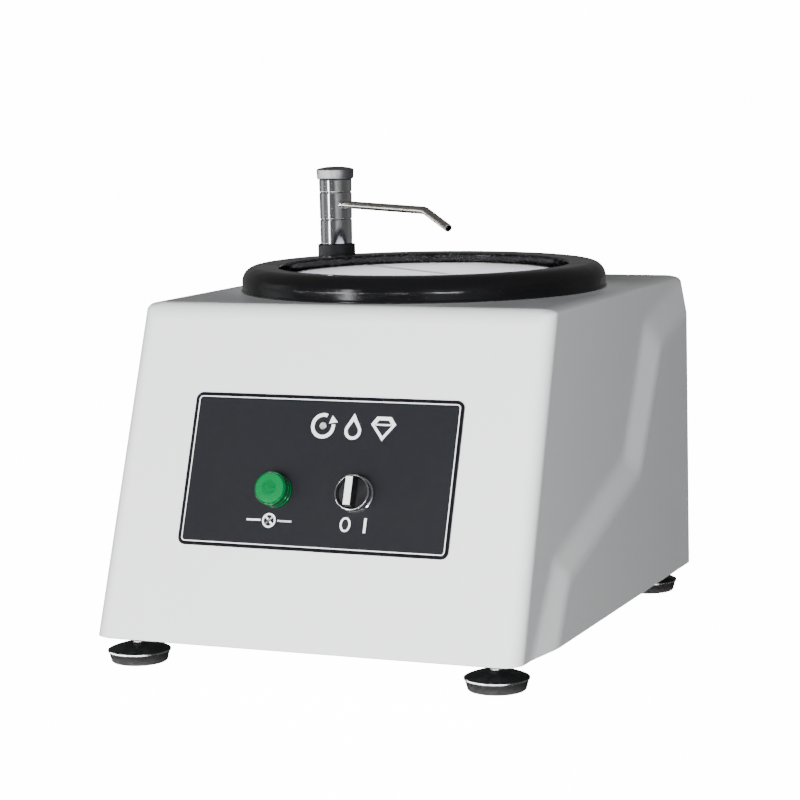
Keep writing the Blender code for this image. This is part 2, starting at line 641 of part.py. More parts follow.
def make_faucet():
    where = add_frame("faucet_frame", (FAUCET_X, FAUCET_Y, DECK_Z))
    shank = FAUCET_SHANK_RADIUS
    pedestal = ring_profile(PEDESTAL_RADIUS, shank + GAP, GAP, PEDESTAL_TOP)
    turned("faucet_pedestal", pedestal, "matt_black", SMALL_ROUND, True, parent=where)
    pin_top = SWIVEL_TOP + PIN_HEIGHT
    seat = SWIVEL_BOTTOM - GAP
    foot = PEDESTAL_TOP + GAP
    body = [(0, pin_top), (FAUCET_PIN_RADIUS, pin_top), (FAUCET_PIN_RADIUS, seat), (FAUCET_RADIUS, seat),
            (FAUCET_RADIUS, foot), (shank, foot), (shank, SHANK_STEP),
            (SHANK_END_RADIUS, SHANK_STEP - SHANK_CHAMFER), (SHANK_END_RADIUS, SHANK_END), (0, SHANK_END)]
    turned("faucet_body", body, "chrome", SMALL_ROUND, parent=where)
    nut_top = -WALL - GAP
    nut = nut_mesh(FAUCET_NUT_RADIUS, shank + FAUCET_NUT_CLEARANCE, nut_top - FAUCET_NUT_HEIGHT, nut_top)
    add_piece("faucet_nut", nut, "brass", parent=where)
    make_swivel(where)
    make_cap(where)


def make_swivel(where):
    bore = FAUCET_PIN_RADIUS + GAP
    collar = ring_profile(FAUCET_RADIUS, bore, SWIVEL_BOTTOM, SWIVEL_TOP - GAP)
    collar = turned("swivel_collar", collar, "chrome", SMALL_ROUND, True, parent=where)
    socket = plug_profile(SPOUT_RADIUS + GAP, SOCKET_DEPTH, SOCKET_DEPTH + CUT_REACH)
    socket = turned("spout_socket", socket, None, TUBE_ROUND, parent=where, place=(0, 0, SPOUT_HEIGHT),
                    turn=(0, math.radians(90), SPOUT_ANGLE))
    combine(collar, [socket], 'DIFFERENCE')
    along = Vector((math.cos(SPOUT_ANGLE), math.sin(SPOUT_ANGLE), 0))
    level = Vector((0, 0, SPOUT_HEIGHT))
    tip = along * SPOUT_TIP_REACH + Vector((0, 0, SPOUT_TIP_HEIGHT))
    route = rounded_route([along * SPOUT_ROOT + level, along * SPOUT_REACH + level, tip], SPOUT_BEND)
    add_piece("spout", tube_mesh(route, SPOUT_RADIUS, SPOUT_BORE), "chrome", parent=where)


def make_cap(where):
    bore = FAUCET_PIN_RADIUS + GAP
    pin_room = SWIVEL_TOP + PIN_HEIGHT + GAP
    bonnet = [(FAUCET_RADIUS, BONNET_TOP - GAP), (FAUCET_RADIUS, SWIVEL_TOP), (bore, SWIVEL_TOP),
              (bore, pin_room), (STEM_BORE, pin_room), (STEM_BORE, BONNET_TOP - GAP)]
    turned("faucet_bonnet", bonnet, "chrome", SMALL_ROUND, True, parent=where)
    turned("valve_stem", plug_profile(STEM_RADIUS, STEM_LOW, STEM_HIGH), "brass", TUBE_ROUND, parent=where)
    cap = [(radius, CAP_TOP - depth) for radius, depth in CAP_DOME]
    cap += [(CAP_RADIUS - CAP_CHAMFER, CAP_TOP - CAP_CHAMFER), (CAP_RADIUS, CAP_TOP - CAP_EDGE_DROP),
            (CAP_RADIUS, BONNET_TOP), (STEM_BORE, BONNET_TOP), (STEM_BORE, STEM_HIGH + GAP),
            (0, STEM_HIGH + GAP)]
    turned("cap_knob", cap, "satin_grey", SMALL_ROUND, parent=where)


FACING_REAR = (math.radians(-90), 0, 0)
FITTING_INSIDE = 0.022       # how far a hose fitting reaches inside the rear wall
GLAND_INSIDE = 0.010
DRAIN_BARB = (0.0095, 0.0088)        # radius of the barb and of the neck behind it
DRAIN_BARB_SLOPE = (0.004, 0.005)    # ends of the barb, back from the tip
DRAIN_OUTLET_FLANGE = (0.0150, 0.004)
INLET_BARB = (0.0058, 0.0050)
INLET_BARB_SLOPE = (0.0045, 0.0050)
INLET_FLANGE = (0.0110, 0.005)
INLET_REACH = 0.0165
INLET_BORE = 0.0028
GLAND_NUT = ((0.0075, 0.0160), (0.0100, 0.0110), (0.0125, 0.0110))
GLAND_BORE = 0.0042


def barbed_tail(barb, slope, flange, reach, shank, bore):
    """Profile of a hose tail: one barb, a flange against the wall and a shank through it."""
    wide, neck = barb
    flange_radius, flange_top = flange
    inward = -WALL - FITTING_INSIDE
    return [(wide, reach), (neck, reach - slope[0]), (wide, reach - slope[1]), (neck, flange_top),
            (flange_radius, flange_top), (flange_radius, GAP), (shank, GAP), (shank, inward), (bore, inward),
            (bore, reach)]


def make_rear_fittings():
    slots = {"drain_outlet": "matt_black", "water_inlet": "brass", "cable_gland": "matt_black"}
    for name, x, z, shank in REAR_FITTINGS:
        if name == "drain_outlet":
            profile = barbed_tail(DRAIN_BARB, DRAIN_BARB_SLOPE, DRAIN_OUTLET_FLANGE, REAR_REACH, shank,
                                  DRAIN_BORE)
        elif name == "water_inlet":
            profile = barbed_tail(INLET_BARB, INLET_BARB_SLOPE, INLET_FLANGE, INLET_REACH, shank, INLET_BORE)
        else:
            inward = -WALL - GLAND_INSIDE
            nut_radius, nut_top = GLAND_NUT[-1][0], GLAND_NUT[0][1]
            profile = [*GLAND_NUT, (nut_radius, GAP), (shank, GAP), (shank, inward), (GLAND_BORE, inward),
                       (GLAND_BORE, nut_top)]
        turned(name, profile, slots[name], FINE_ROUND, True, place=(x, REAR_Y, z), turn=FACING_REAR)


DRAIN_HOSE_RADIUS = 0.0095
DRAIN_HOSE_BEND = 0.030
WATER_HOSE_RADIUS = 0.0060
WATER_HOSE_BORE = 0.0035
WATER_HOSE_BEND = 0.022


def make_hoses():
    wall_end = REAR_Y - WALL - FITTING_INSIDE - GAP
    drop = DECK_Z - BOWL_DEPTH - DRAIN_STEM_LENGTH - GAP
    corners = [(DRAIN_X, DRAIN_Y, drop), (DRAIN_X, DRAIN_Y, DRAIN_HEIGHT), (DRAIN_X, wall_end, DRAIN_HEIGHT)]
    route = rounded_route(corners, DRAIN_HOSE_BEND)
    add_piece("drain_hose", tube_mesh(route, DRAIN_HOSE_RADIUS, DRAIN_BORE), "hose")
    shank_end = DECK_Z + SHANK_END - GAP
    corners = [(FAUCET_X, wall_end, INLET_HEIGHT), (FAUCET_X, FAUCET_Y, INLET_HEIGHT),
               (FAUCET_X, FAUCET_Y, shank_end)]
    route = rounded_route(corners, WATER_HOSE_BEND)
    add_piece("water_hose", tube_mesh(route, WATER_HOSE_RADIUS, WATER_HOSE_BORE), "hose")


# ---------------------------------------------------------------- electrics
CAPACITOR_PLACE = (0.115, FRONT_Y + 0.160, 0)
CAPACITOR_RADIUS = 0.0200
CAPACITOR_HEIGHT = 0.059
CAPACITOR_CHAMFER = (0.001, 0.002)
CAPACITOR_STUD = (0.0050, 0.064)
BLOCK_X = -0.115
BLOCK_Y = FRONT_Y + 0.190
BLOCK_HALF = (0.032, 0.012)
BLOCK_HEIGHT = 0.020
BLOCK_ROUND = 0.002
SLOT_COUNT = 3
SLOT_SPACING = 0.020
SLOT_HALF = (0.006, 0.008)
SLOT_FLOOR = 0.012


def make_capacitor():
    stud_radius, stud_height = CAPACITOR_STUD
    inset, drop = CAPACITOR_CHAMFER
    top = PLATE_TOP + CAPACITOR_HEIGHT
    can = [(0, PLATE_TOP + stud_height), (stud_radius, PLATE_TOP + stud_height), (stud_radius, top),
           (CAPACITOR_RADIUS - inset, top), (CAPACITOR_RADIUS, top - drop), (CAPACITOR_RADIUS, PLATE_TOP + GAP),
           (0, PLATE_TOP + GAP)]
    turned("start_capacitor", can, "aluminium", place=CAPACITOR_PLACE)


def make_terminal_block():
    low = (BLOCK_X - BLOCK_HALF[0], BLOCK_Y - BLOCK_HALF[1], PLATE_TOP + GAP)
    bm = box_mesh(low, (BLOCK_X + BLOCK_HALF[0], BLOCK_Y + BLOCK_HALF[1], PLATE_TOP + BLOCK_HEIGHT))
    round_edges(bm, upright_edges(bm), BLOCK_ROUND, 1)
    block = add_piece("terminal_block", bm, "white_mark")
    slots = []
    for i in range(SLOT_COUNT):
        middle = BLOCK_X + SLOT_SPACING * (i - (SLOT_COUNT - 1) / 2)
        low = (middle - SLOT_HALF[0], BLOCK_Y - SLOT_HALF[1], PLATE_TOP + SLOT_FLOOR)
        high = (middle + SLOT_HALF[0], BLOCK_Y + SLOT_HALF[1], PLATE_TOP + SLOT_FLOOR + CUT_REACH)
        slots.append(add_piece(f"terminal_slot_{i}", box_mesh(low, high), None))
    combine(block, slots, 'DIFFERENCE')


# ---------------------------------------------------------------- front panel
def make_panel(where):
    half = Vector((PANEL_WIDTH, PANEL_HEIGHT)) / 2
    bm = box_mesh((-half.x, -half.y, GAP), (half.x, half.y, GAP + PANEL_THICKNESS))
    round_edges(bm, upright_edges(bm), PANEL_CORNER)
    panel = add_piece("panel_plate", bm, "panel_black", parent=where)
    holes = []
    for side in (-1, 1):
        hole = plug_profile(CONTROL_HOLE_RADIUS, -CUT_REACH / 2, CUT_REACH / 2)
        holes.append(turned(f"panel_hole_{side}", hole, None, parent=where,
                            place=(side * CONTROL_X, CONTROL_DROP, 0)))
    combine(panel, holes, 'DIFFERENCE')


SHOULDER = PANEL_THICKNESS + 2 * GAP     # where a bezel sits on the panel
BARREL_RADIUS = 0.0109
BARREL_TOP = 0.0057
RING_NUT_RADIUS = 0.0145
RING_NUT_HEIGHT = 0.005


def make_ring_nut(name, where, place):
    top = -WALL - GAP
    profile = ring_profile(RING_NUT_RADIUS, BARREL_RADIUS + GAP, top - RING_NUT_HEIGHT, top)
    turned(name, profile, "matt_black", FINE_ROUND, True, parent=where, place=place)


COLLAR_STEP = 0.0060
COLLAR_LIP_TOP = 0.0150
COLLAR_LIP = ((0.0006, COLLAR_LIP_TOP), (0.0002, 0.0080))    # inset, height
LENS_BOTTOM = 0.0060
LENS_EDGE = ((0, 0.0152), (0.0010, 0.0162))
LENS_TOP = 0.0166
LAMP_BODY_BOTTOM = -0.038


def make_lamp(where):
    place = (-CONTROL_X, CONTROL_DROP, 0)
    seat = LENS_RADIUS + GAP
    collar = [(LAMP_RADIUS, SHOULDER + COLLAR_STEP), (LAMP_RADIUS, SHOULDER), (seat, SHOULDER),
              (seat, COLLAR_LIP_TOP)]
    collar += [(LAMP_RADIUS - inset, height) for inset, height in COLLAR_LIP]
    turned("lamp_collar", collar, "green_collar", MEDIUM_ROUND, True, parent=where, place=place)
    lens = [(0, LENS_BOTTOM), (LENS_RADIUS, LENS_BOTTOM)]
    lens += [(LENS_RADIUS - inset, height) for inset, height in LENS_EDGE] + [(0, LENS_TOP)]
    turned("lamp_lens", lens[::-1], "green_lens", MEDIUM_ROUND, parent=where, place=place)
    body = plug_profile(BARREL_RADIUS, LAMP_BODY_BOTTOM, BARREL_TOP)
    turned("lamp_body", body, "matt_black", parent=where, place=place)
    make_ring_nut("lamp_nut", where, place)


BEZEL_BORE = 0.0128
BEZEL_FOOT_TOP = 0.0052
BEZEL_LIP = ((BEZEL_BORE, 0.0132), (0.0136, 0.0140), (0.0146, 0.0132), (0.0142, 0.0060))
KNOB_RADIUS = BEZEL_BORE - 0.0004
KNOB_BOTTOM = 0.0060
KNOB_TOP = 0.0105
GRIP_BOTTOM = 0.0090
MARKER_INSET = (0.0004, 0.0006)
MARKER_THICKNESS = 0.0006
SWITCH_BARREL_BOTTOM = -0.024
CONTACT_HALF = 0.013
CONTACT_BOTTOM = -0.050
CONTACT_TOP = -0.022


def make_selector(where):
    place = (CONTROL_X, CONTROL_DROP, 0)
    bezel = [(BEZEL_RADIUS, BEZEL_FOOT_TOP), (BEZEL_RADIUS, SHOULDER), (BEZEL_BORE, SHOULDER), *BEZEL_LIP]
    turned("selector_bezel", bezel, "chrome", SMALL_ROUND, True, parent=where, place=place)
    knob = plug_profile(KNOB_RADIUS, KNOB_BOTTOM, KNOB_TOP)
    knob = turned("selector_handle", knob, "matt_black", MEDIUM_ROUND, parent=where, place=place)
    half = Vector((HANDLE_WIDTH, HANDLE_LENGTH)) / 2
    bm = box_mesh((-half.x, -half.y, GRIP_BOTTOM), (half.x, half.y, HANDLE_TOP))
    grip = add_piece("selector_grip", bm, None, parent=where, place=place)
    combine(knob, [grip], 'UNION')
    mark = half - Vector(MARKER_INSET)
    low = (-mark.x, -mark.y, HANDLE_TOP + GAP)
    marker = box_mesh(low, (mark.x, mark.y, HANDLE_TOP + GAP + MARKER_THICKNESS))
    add_piece("selector_marker", marker, "white_mark", parent=where, place=place)
    barrel = plug_profile(BARREL_RADIUS, SWITCH_BARREL_BOTTOM, BARREL_TOP)
    barrel = turned("selector_body", barrel, "matt_black", parent=where, place=place)
    low = (-CONTACT_HALF, -CONTACT_HALF, CONTACT_BOTTOM)
    block = box_mesh(low, (CONTACT_HALF, CONTACT_HALF, CONTACT_TOP))
    combine(barrel, [add_piece("contact_block", block, None, parent=where, place=place)], 'UNION')
    make_ring_nut("selector_nut", where, place)


# ---------------------------------------------------------------- the machine
def main():
    clear_scene()
    slope_length = math.hypot(FRONT_LEAN, BODY_HEIGHT)
    back = PANEL_CENTRE_UP * FRONT_LEAN / slope_length
    up = PANEL_CENTRE_UP * BODY_HEIGHT / slope_length
    tilt = math.atan2(BODY_HEIGHT, FRONT_LEAN)
    panel_frame = add_frame("panel_frame", (0, FRONT_Y + back, FOOT_HEIGHT + up), (tilt, 0, 0))
    make_shell(panel_frame)
    make_base_plate()
    for name, (x, y) in foot_places().items():
        make_foot(name, x, y)
    make_motor_mount()
    make_motor()
    make_shaft_seal()
    make_disc()
    make_bowl()
    make_splash_ring()
    make_faucet()
    make_rear_fittings()
    make_hoses()
    make_capacitor()
    make_terminal_block()
    make_panel(panel_frame)
    make_lamp(panel_frame)
    make_selector(panel_frame)


main()
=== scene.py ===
# %% [markdown]
# # A bench polishing machine with one disc
# The machine stands on four levelling feet. Its housing is one white moulding, a black splash ring
# surrounds the cloth-covered disc, a small swivelling faucet wets the cloth, and a dark panel on
# the leaning front holds a lamp and a rotary switch.
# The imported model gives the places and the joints. This script builds the fine surface round it:
# each visible piece is modelled again with Blender's own tools, a little finer than the plain
# solid it stands for, and every piece gets a finish made of nodes.

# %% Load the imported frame
import json
import math

import bmesh
import bpy
from mathutils import Matrix, Vector, noise


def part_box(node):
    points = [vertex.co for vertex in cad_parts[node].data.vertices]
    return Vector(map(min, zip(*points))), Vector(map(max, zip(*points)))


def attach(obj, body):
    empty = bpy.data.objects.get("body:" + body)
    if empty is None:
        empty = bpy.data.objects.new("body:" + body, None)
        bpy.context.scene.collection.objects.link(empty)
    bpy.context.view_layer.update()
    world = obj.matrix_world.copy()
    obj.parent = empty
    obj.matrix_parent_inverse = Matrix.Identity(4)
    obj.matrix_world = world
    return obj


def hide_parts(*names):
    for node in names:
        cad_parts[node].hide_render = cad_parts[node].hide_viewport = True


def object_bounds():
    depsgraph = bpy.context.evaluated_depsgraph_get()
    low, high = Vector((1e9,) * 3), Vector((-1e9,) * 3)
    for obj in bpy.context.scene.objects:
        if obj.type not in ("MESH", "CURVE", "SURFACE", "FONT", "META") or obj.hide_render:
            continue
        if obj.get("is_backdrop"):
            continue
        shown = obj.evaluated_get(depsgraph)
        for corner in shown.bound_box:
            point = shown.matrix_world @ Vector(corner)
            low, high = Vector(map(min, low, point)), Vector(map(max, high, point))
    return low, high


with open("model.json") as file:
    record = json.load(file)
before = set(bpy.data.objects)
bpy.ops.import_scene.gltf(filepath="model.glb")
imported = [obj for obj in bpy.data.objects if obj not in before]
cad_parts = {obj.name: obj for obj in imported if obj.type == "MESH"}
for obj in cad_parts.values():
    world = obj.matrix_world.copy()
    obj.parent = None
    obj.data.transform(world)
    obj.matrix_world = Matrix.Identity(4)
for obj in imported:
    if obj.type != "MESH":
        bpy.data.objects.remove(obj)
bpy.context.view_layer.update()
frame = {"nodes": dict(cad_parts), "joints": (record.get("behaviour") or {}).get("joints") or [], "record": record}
BODY_OF = {node: body for body, nodes in frame["record"]["behaviour"]["bodies"].items() for node in nodes}
JOINTS = {joint["name"]: joint for joint in frame["joints"]}

# %% [markdown]
# ## Reference places
# Everything is placed from a few axes of the frame: the middle of the disc, the faucet's axis, the
# deck (the flat top of the housing) and the plane of the panel. Each is a matrix, so that a piece
# can be shaped round the origin, where its sizes are easy to read, and then be carried there.

# %% Axes of the disc, the faucet and the panel
def middle(node):
    low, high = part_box(node)
    return (low + high) / 2


def radius_of(node):
    low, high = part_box(node)
    return (high.x - low.x) / 2


def heights_of(node):
    """Lowest and highest point of a node, counted from the deck."""
    low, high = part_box(node)
    return low.z - DECK, high.z - DECK


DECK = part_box("shell")[1].z
FLOOR_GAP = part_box("shell")[0].z
FRONT_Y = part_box("shell")[0].y
DISC = middle("platen")
FAUCET = middle("faucet_pedestal")
AT_DISC = Matrix.Translation((DISC.x, DISC.y, DECK))
AT_FAUCET = Matrix.Translation((FAUCET.x, FAUCET.y, DECK))

PANEL_NORMAL = Vector(JOINTS["selector_turn"]["axis"]).normalized()
PANEL_UP = PANEL_NORMAL.cross(Vector((1, 0, 0)))
PANEL_BACK_GAP = 0.0003
PANEL_PLATE = 0.0015
panel_centre = middle("panel_plate") - PANEL_NORMAL * (PANEL_BACK_GAP + PANEL_PLATE / 2)
panel_axes = Matrix((Vector((1, 0, 0)), PANEL_UP, PANEL_NORMAL)).transposed()
AT_PANEL = Matrix.Translation(panel_centre) @ panel_axes.to_4x4()
print("deck at", round(DECK, 4), "disc at", [round(v, 4) for v in DISC.xy])

# %% [markdown]
# ## Camera
# The machine is seen from its right front, a little above the deck, with a long lens, so that
# upright edges stay nearly upright. The camera is aimed at a point and stands back from it, which
# keeps azimuth, elevation and distance as separate numbers that are easy to change.

# %% Camera
AIM = Vector((-0.0248, DISC.y, 0.1891))
AZIMUTH = math.radians(22.65)
ELEVATION = math.radians(7.34)
ROLL = math.radians(-1.05)
DISTANCE = 2.2314
LENS = 113.3

turn = (Matrix.Rotation(AZIMUTH, 4, "Z") @ Matrix.Rotation(math.pi / 2 - ELEVATION, 4, "X")
        @ Matrix.Rotation(ROLL, 4, "Z"))
away = turn.to_3x3() @ Vector((0, 0, 1))
bpy.ops.object.camera_add(location=AIM + away * DISTANCE, rotation=turn.to_euler())
camera = bpy.context.object
camera.data.lens = LENS
bpy.context.scene.camera = camera
print("camera at", [round(v, 3) for v in camera.location])

# %% [markdown]
# ## Studio
# One large soft light stands nearly in front, low down. It meets the leaning front squarely, the
# flank at a slant and the deck at a graze, which gives these faces their bright, middle and dark
# tone. A small light above, with a narrow spread, reaches only the cloth. Seen directly, the floor
# and the room are plain white. Polished pieces mirror another room: walls in stripes by direction
# and a low bright strip, which give chrome and black resin their edges. The floor and the lights
# are hidden from those reflections.

# %% Floor
FLOOR_SIZE = 24.0
FLOOR_GLOW = 15.0

bpy.ops.object.select_all(action="DESELECT")
bpy.ops.mesh.primitive_plane_add(size=FLOOR_SIZE, location=(0, 0, 0))
floor = bpy.context.object
floor.name = "studio_floor"
floor.visible_diffuse = False
floor.visible_glossy = False
floor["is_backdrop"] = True
floor_finish = bpy.data.materials.new("pale_floor")
floor_finish.use_nodes = True
floor_shader = floor_finish.node_tree.nodes["Principled BSDF"]
floor_shader.inputs["Base Color"].default_value = (0.86, 0.86, 0.86, 1)
floor_shader.inputs["Roughness"].default_value = 0.9
floor_shader.inputs["Emission Color"].default_value = (1.0, 1.0, 1.0, 1)
floor_shader.inputs["Emission Strength"].default_value = FLOOR_GLOW
floor.data.materials.append(floor_finish)

# %% Lights
ABOVE_SPREAD = 9              # degrees


def soft_light(name, azimuth, elevation, distance, aim, power, width, height):
    """A rectangular soft light, placed by the direction it shines from, in degrees."""
    around, up = math.radians(azimuth), math.radians(elevation)
    way = Vector((math.sin(around) * math.cos(up), -math.cos(around) * math.cos(up), math.sin(up)))
    bpy.ops.object.light_add(type="AREA", location=aim + way * distance,
                             rotation=way.to_track_quat("Z", "Y").to_euler())
    light = bpy.context.object
    light.name = name
    light.data.shape = "RECTANGLE"
    light.data.size, light.data.size_y = width, height
    light.data.energy = power
    light.visible_glossy = False
    return light


key = soft_light("key", azimuth=9.5, elevation=1.5, distance=3.2, aim=AIM, power=430, width=1.8, height=1.2)
above = soft_light("above", azimuth=60, elevation=84, distance=1.0, aim=DISC, power=0.27, width=0.2,
                   height=0.2)
above.data.spread = math.radians(ABOVE_SPREAD)

# %% Room
CAMERA_SEES = 15.0            # a plain white surround
AMBIENT = 0.12                # what matt surfaces get from the room
ROOM_TOP, ROOM_FLOOR = 0.16, 0.12
WALL_STRIPES = (              # azimuth in degrees, brightness of the wall in a polished surface
    (-180, 0.13), (-150, 0.14), (-130, 0.18), (-105, 0.16), (-82, 0.60), (-62, 0.16), (-43, 0.28),
    (-33, 0.3), (-29.5, 9.0), (-25, 9.0), (-21, 0.2), (-13, 0.13), (15, 0.15), (30, 0.55), (44, 0.35),
    (58, 0.25), (73, 0.11), (107, 0.11), (127, 0.16), (154, 0.13), (180, 0.13))
WALL_HEIGHTS = ((-1.0, 0.0), (-0.26, 0.0), (-0.20, 1.0), (0.24, 1.0), (0.34, 0.0), (1.0, 0.0))
GLINT_AZIMUTHS = ((-180, 0.0), (-108, 0.0), (-100, 1.0), (45, 1.0), (58, 0.0), (180, 0.0))
GLINT_HEIGHTS = ((-1.0, 0.0), (-0.26, 0.0), (-0.22, 1.0), (-0.155, 1.0), (-0.135, 0.0), (1.0, 0.0))
GLINT = 14.0

world = bpy.context.scene.world or bpy.data.worlds.new("room")
bpy.context.scene.world = world
world.use_nodes = True
room = world.node_tree
background = room.nodes["Background"]


def room_math(operation, first, second):
    node = room.nodes.new("ShaderNodeMath")
    node.operation = operation
    for socket, value in zip(node.inputs, (first, second)):
        if isinstance(value, (int, float)):
            socket.default_value = value
        else:
            room.links.new(value, socket)
    return node.outputs["Value"]


def room_curve(value, low, high, points):
    """The brightness read from a table of points between a low and a high value."""
    span = room.nodes.new("ShaderNodeMapRange")
    span.inputs["From Min"].default_value = low
    span.inputs["From Max"].default_value = high
    table = room.nodes.new("ShaderNodeFloatCurve")
    curve = table.mapping.curves[0]
    top = max(tone for _, tone in points)
    curve.points[0].location = (0.0, points[0][1] / top)
    curve.points[1].location = (1.0, points[-1][1] / top)
    for at, tone in points[1:-1]:
        curve.points.new((at - low) / (high - low), tone / top)
    for point in curve.points:
        point.handle_type = "VECTOR"
    table.mapping.update()
    room.links.new(value, span.inputs["Value"])
    room.links.new(span.outputs["Result"], table.inputs["Value"])
    return room_math("MULTIPLY", table.outputs["Value"], top)


direction = room.nodes.new("ShaderNodeTexCoord")
parts = room.nodes.new("ShaderNodeSeparateXYZ")
rays = room.nodes.new("ShaderNodeLightPath")
room.links.new(direction.outputs["Generated"], parts.inputs["Vector"])
rise = parts.outputs["Z"]
azimuth = room_math("ARCTAN2", parts.outputs["X"], room_math("MULTIPLY", parts.outputs["Y"], -1.0))
wall = room_curve(azimuth, -math.pi, math.pi, [(math.radians(a), tone) for a, tone in WALL_STRIPES])
wall = room_math("MULTIPLY", wall, room_curve(rise, -1, 1, WALL_HEIGHTS))
plain = room_curve(rise, -1, 1, ((-1.0, ROOM_FLOOR), (-0.26, ROOM_FLOOR), (-0.20, 0.001), (0.24, 0.001),
                                 (0.34, ROOM_TOP), (1.0, ROOM_TOP)))
glint = room_curve(azimuth, -math.pi, math.pi, [(math.radians(a), tone) for a, tone in GLINT_AZIMUTHS])
glint = room_math("MULTIPLY", glint, room_curve(rise, -1, 1, GLINT_HEIGHTS))
mirrored = room_math("ADD", room_math("ADD", wall, plain), room_math("MULTIPLY", glint, GLINT))
glossy = room_math("MULTIPLY", mirrored, rays.outputs["Is Glossy Ray"])
plain_rays = room_math("SUBTRACT", 1.0, rays.outputs["Is Glossy Ray"])
seen = room_math("MULTIPLY", rays.outputs["Is Camera Ray"], CAMERA_SEES)
ambient = room_math("MULTIPLY", plain_rays, AMBIENT)
total = room_math("ADD", glossy, room_math("ADD", seen, ambient))
room.links.new(total, background.inputs["Color"])
print("studio:", [light.name for light in (key, above)], "and a room of", len(WALL_STRIPES), "stripes")

# %% [markdown]
# ## Finishes
# A finish is a Principled shader with patterns wired into its colour, roughness and bump. The
# patterns read Object coordinates, carried into the piece's own axes by a Mapping node of type
# Texture, so a streak can follow a tilted panel or a slanting tube. Anything that is the same all
# over is set on the shader itself.

# %% Kit for wiring finishes
def new_finish(name, colour, roughness, metallic=0.0, **settings):
    finish = bpy.data.materials.new(name)
    finish.use_nodes = True
    shader = finish.node_tree.nodes["Principled BSDF"]
    shader.inputs["Base Color"].default_value = (*colour, 1)
    shader.inputs["Roughness"].default_value = roughness
    shader.inputs["Metallic"].default_value = metallic
    for socket, value in settings.items():
        shader.inputs[socket.replace("_", " ")].default_value = value
    return finish


def add_node(finish, kind, **values):
    """A new node; a value goes to the input of that name, or else to the node's own setting."""
    node = finish.node_tree.nodes.new(kind)
    for name, value in values.items():
        socket = node.inputs.get(name.replace("_", " "))
        if socket is None:
            setattr(node, name, value)
        else:
            socket.default_value = value
    return node


def wire(finish, output, socket):
    finish.node_tree.links.new(output, socket)


def shader_of(finish):
    return finish.node_tree.nodes["Principled BSDF"]


def coordinates(finish, place=None, stretch=(1, 1, 1)):
    """Object coordinates in the axes of a place, with a stretch for streaks."""
    source = add_node(finish, "ShaderNodeTexCoord")
    place = place or Matrix.Identity(4)
    axes = add_node(finish, "ShaderNodeMapping", vector_type="TEXTURE", Location=place.translation,
                    Rotation=place.to_euler(), Scale=[1 / s for s in stretch])
    wire(finish, source.outputs["Object"], axes.inputs["Vector"])
    return axes.outputs["Vector"]


def cloud(finish, where, scale, detail=3.0, roughness=0.5):
    """Soft noise; scale is the number of spots in a metre."""
    pattern = add_node(finish, "ShaderNodeTexNoise", Scale=scale, Detail=detail, Roughness=roughness)
    wire(finish, where, pattern.inputs["Vector"])
    return pattern.outputs["Fac"]


def spread(finish, value, low, high, start=0.3, end=0.7):
    """Map the values from start to end onto low to high."""
    mapped = add_node(finish, "ShaderNodeMapRange", From_Min=start, From_Max=end, To_Min=low, To_Max=high)
    wire(finish, value, mapped.inputs["Value"])
    return mapped.outputs["Result"]


def blend_colours(finish, amount, first, second):
    """Mix two colours, or a colour and a socket, by an amount."""
    mix = add_node(finish, "ShaderNodeMix", data_type="RGBA")
    wire(finish, amount, mix.inputs["Factor"])
    for slot, colour in (("A", first), ("B", second)):
        socket = [s for s in mix.inputs if s.name == slot and s.type == "RGBA"][0]
        if isinstance(colour, tuple):
            socket.default_value = (*colour, 1)
        else:
            wire(finish, colour, socket)
    return [s for s in mix.outputs if s.type == "RGBA"][0]


def colour_by(finish, amount, first, second):
    result = blend_colours(finish, amount, first, second)
    wire(finish, result, shader_of(finish).inputs["Base Color"])
    return result


def roughness_by(finish, amount, low, high, start=0.3, end=0.7):
    wire(finish, spread(finish, amount, low, high, start, end), shader_of(finish).inputs["Roughness"])


def relief(finish, height, distance, strength=1.0):
    """Add a bump to the finish, on top of any bump that it has."""
    bump = add_node(finish, "ShaderNodeBump", Distance=distance, Strength=strength)
    normal = shader_of(finish).inputs["Normal"]
    if normal.is_linked:
        wire(finish, normal.links[0].from_socket, bump.inputs["Normal"])
    wire(finish, height, bump.inputs["Height"])
    wire(finish, bump.outputs["Normal"], normal)


def specks(finish, where, scale, size):
    """1 inside small scattered dots, 0 between them."""
    cells = add_node(finish, "ShaderNodeTexVoronoi", Scale=scale)
    wire(finish, where, cells.inputs["Vector"])
    return spread(finish, cells.outputs["Distance"], 1.0, 0.0, size * 0.6, size)


def times(finish, first, second):
    product = add_node(finish, "ShaderNodeMath", operation="MULTIPLY")
    wire(finish, first, product.inputs[0])
    wire(finish, second, product.inputs[1])
    return product.outputs["Value"]


def distance_from_axis(finish, place):
    """Distance from the Z axis of a place."""
    flat = add_node(finish, "ShaderNodeVectorMath", operation="MULTIPLY")
    flat.inputs[1].default_value = (1, 1, 0)
    wire(finish, coordinates(finish, place), flat.inputs[0])
    length = add_node(finish, "ShaderNodeVectorMath", operation="LENGTH")
    wire(finish, flat.outputs["Vector"], length.inputs[0])
    return length.outputs["Value"]


# %% [markdown]
# ### Mouldings
# The housing is glass-fibre with a white gelcoat: glossy, with faint orange peel, long shallow
# waves from the mould and a trace of grey where it is handled. The ring is polished black resin.
# Its reflections are wavy, and fine slurry dries as grey spots, mostly on the skirt by the disc.

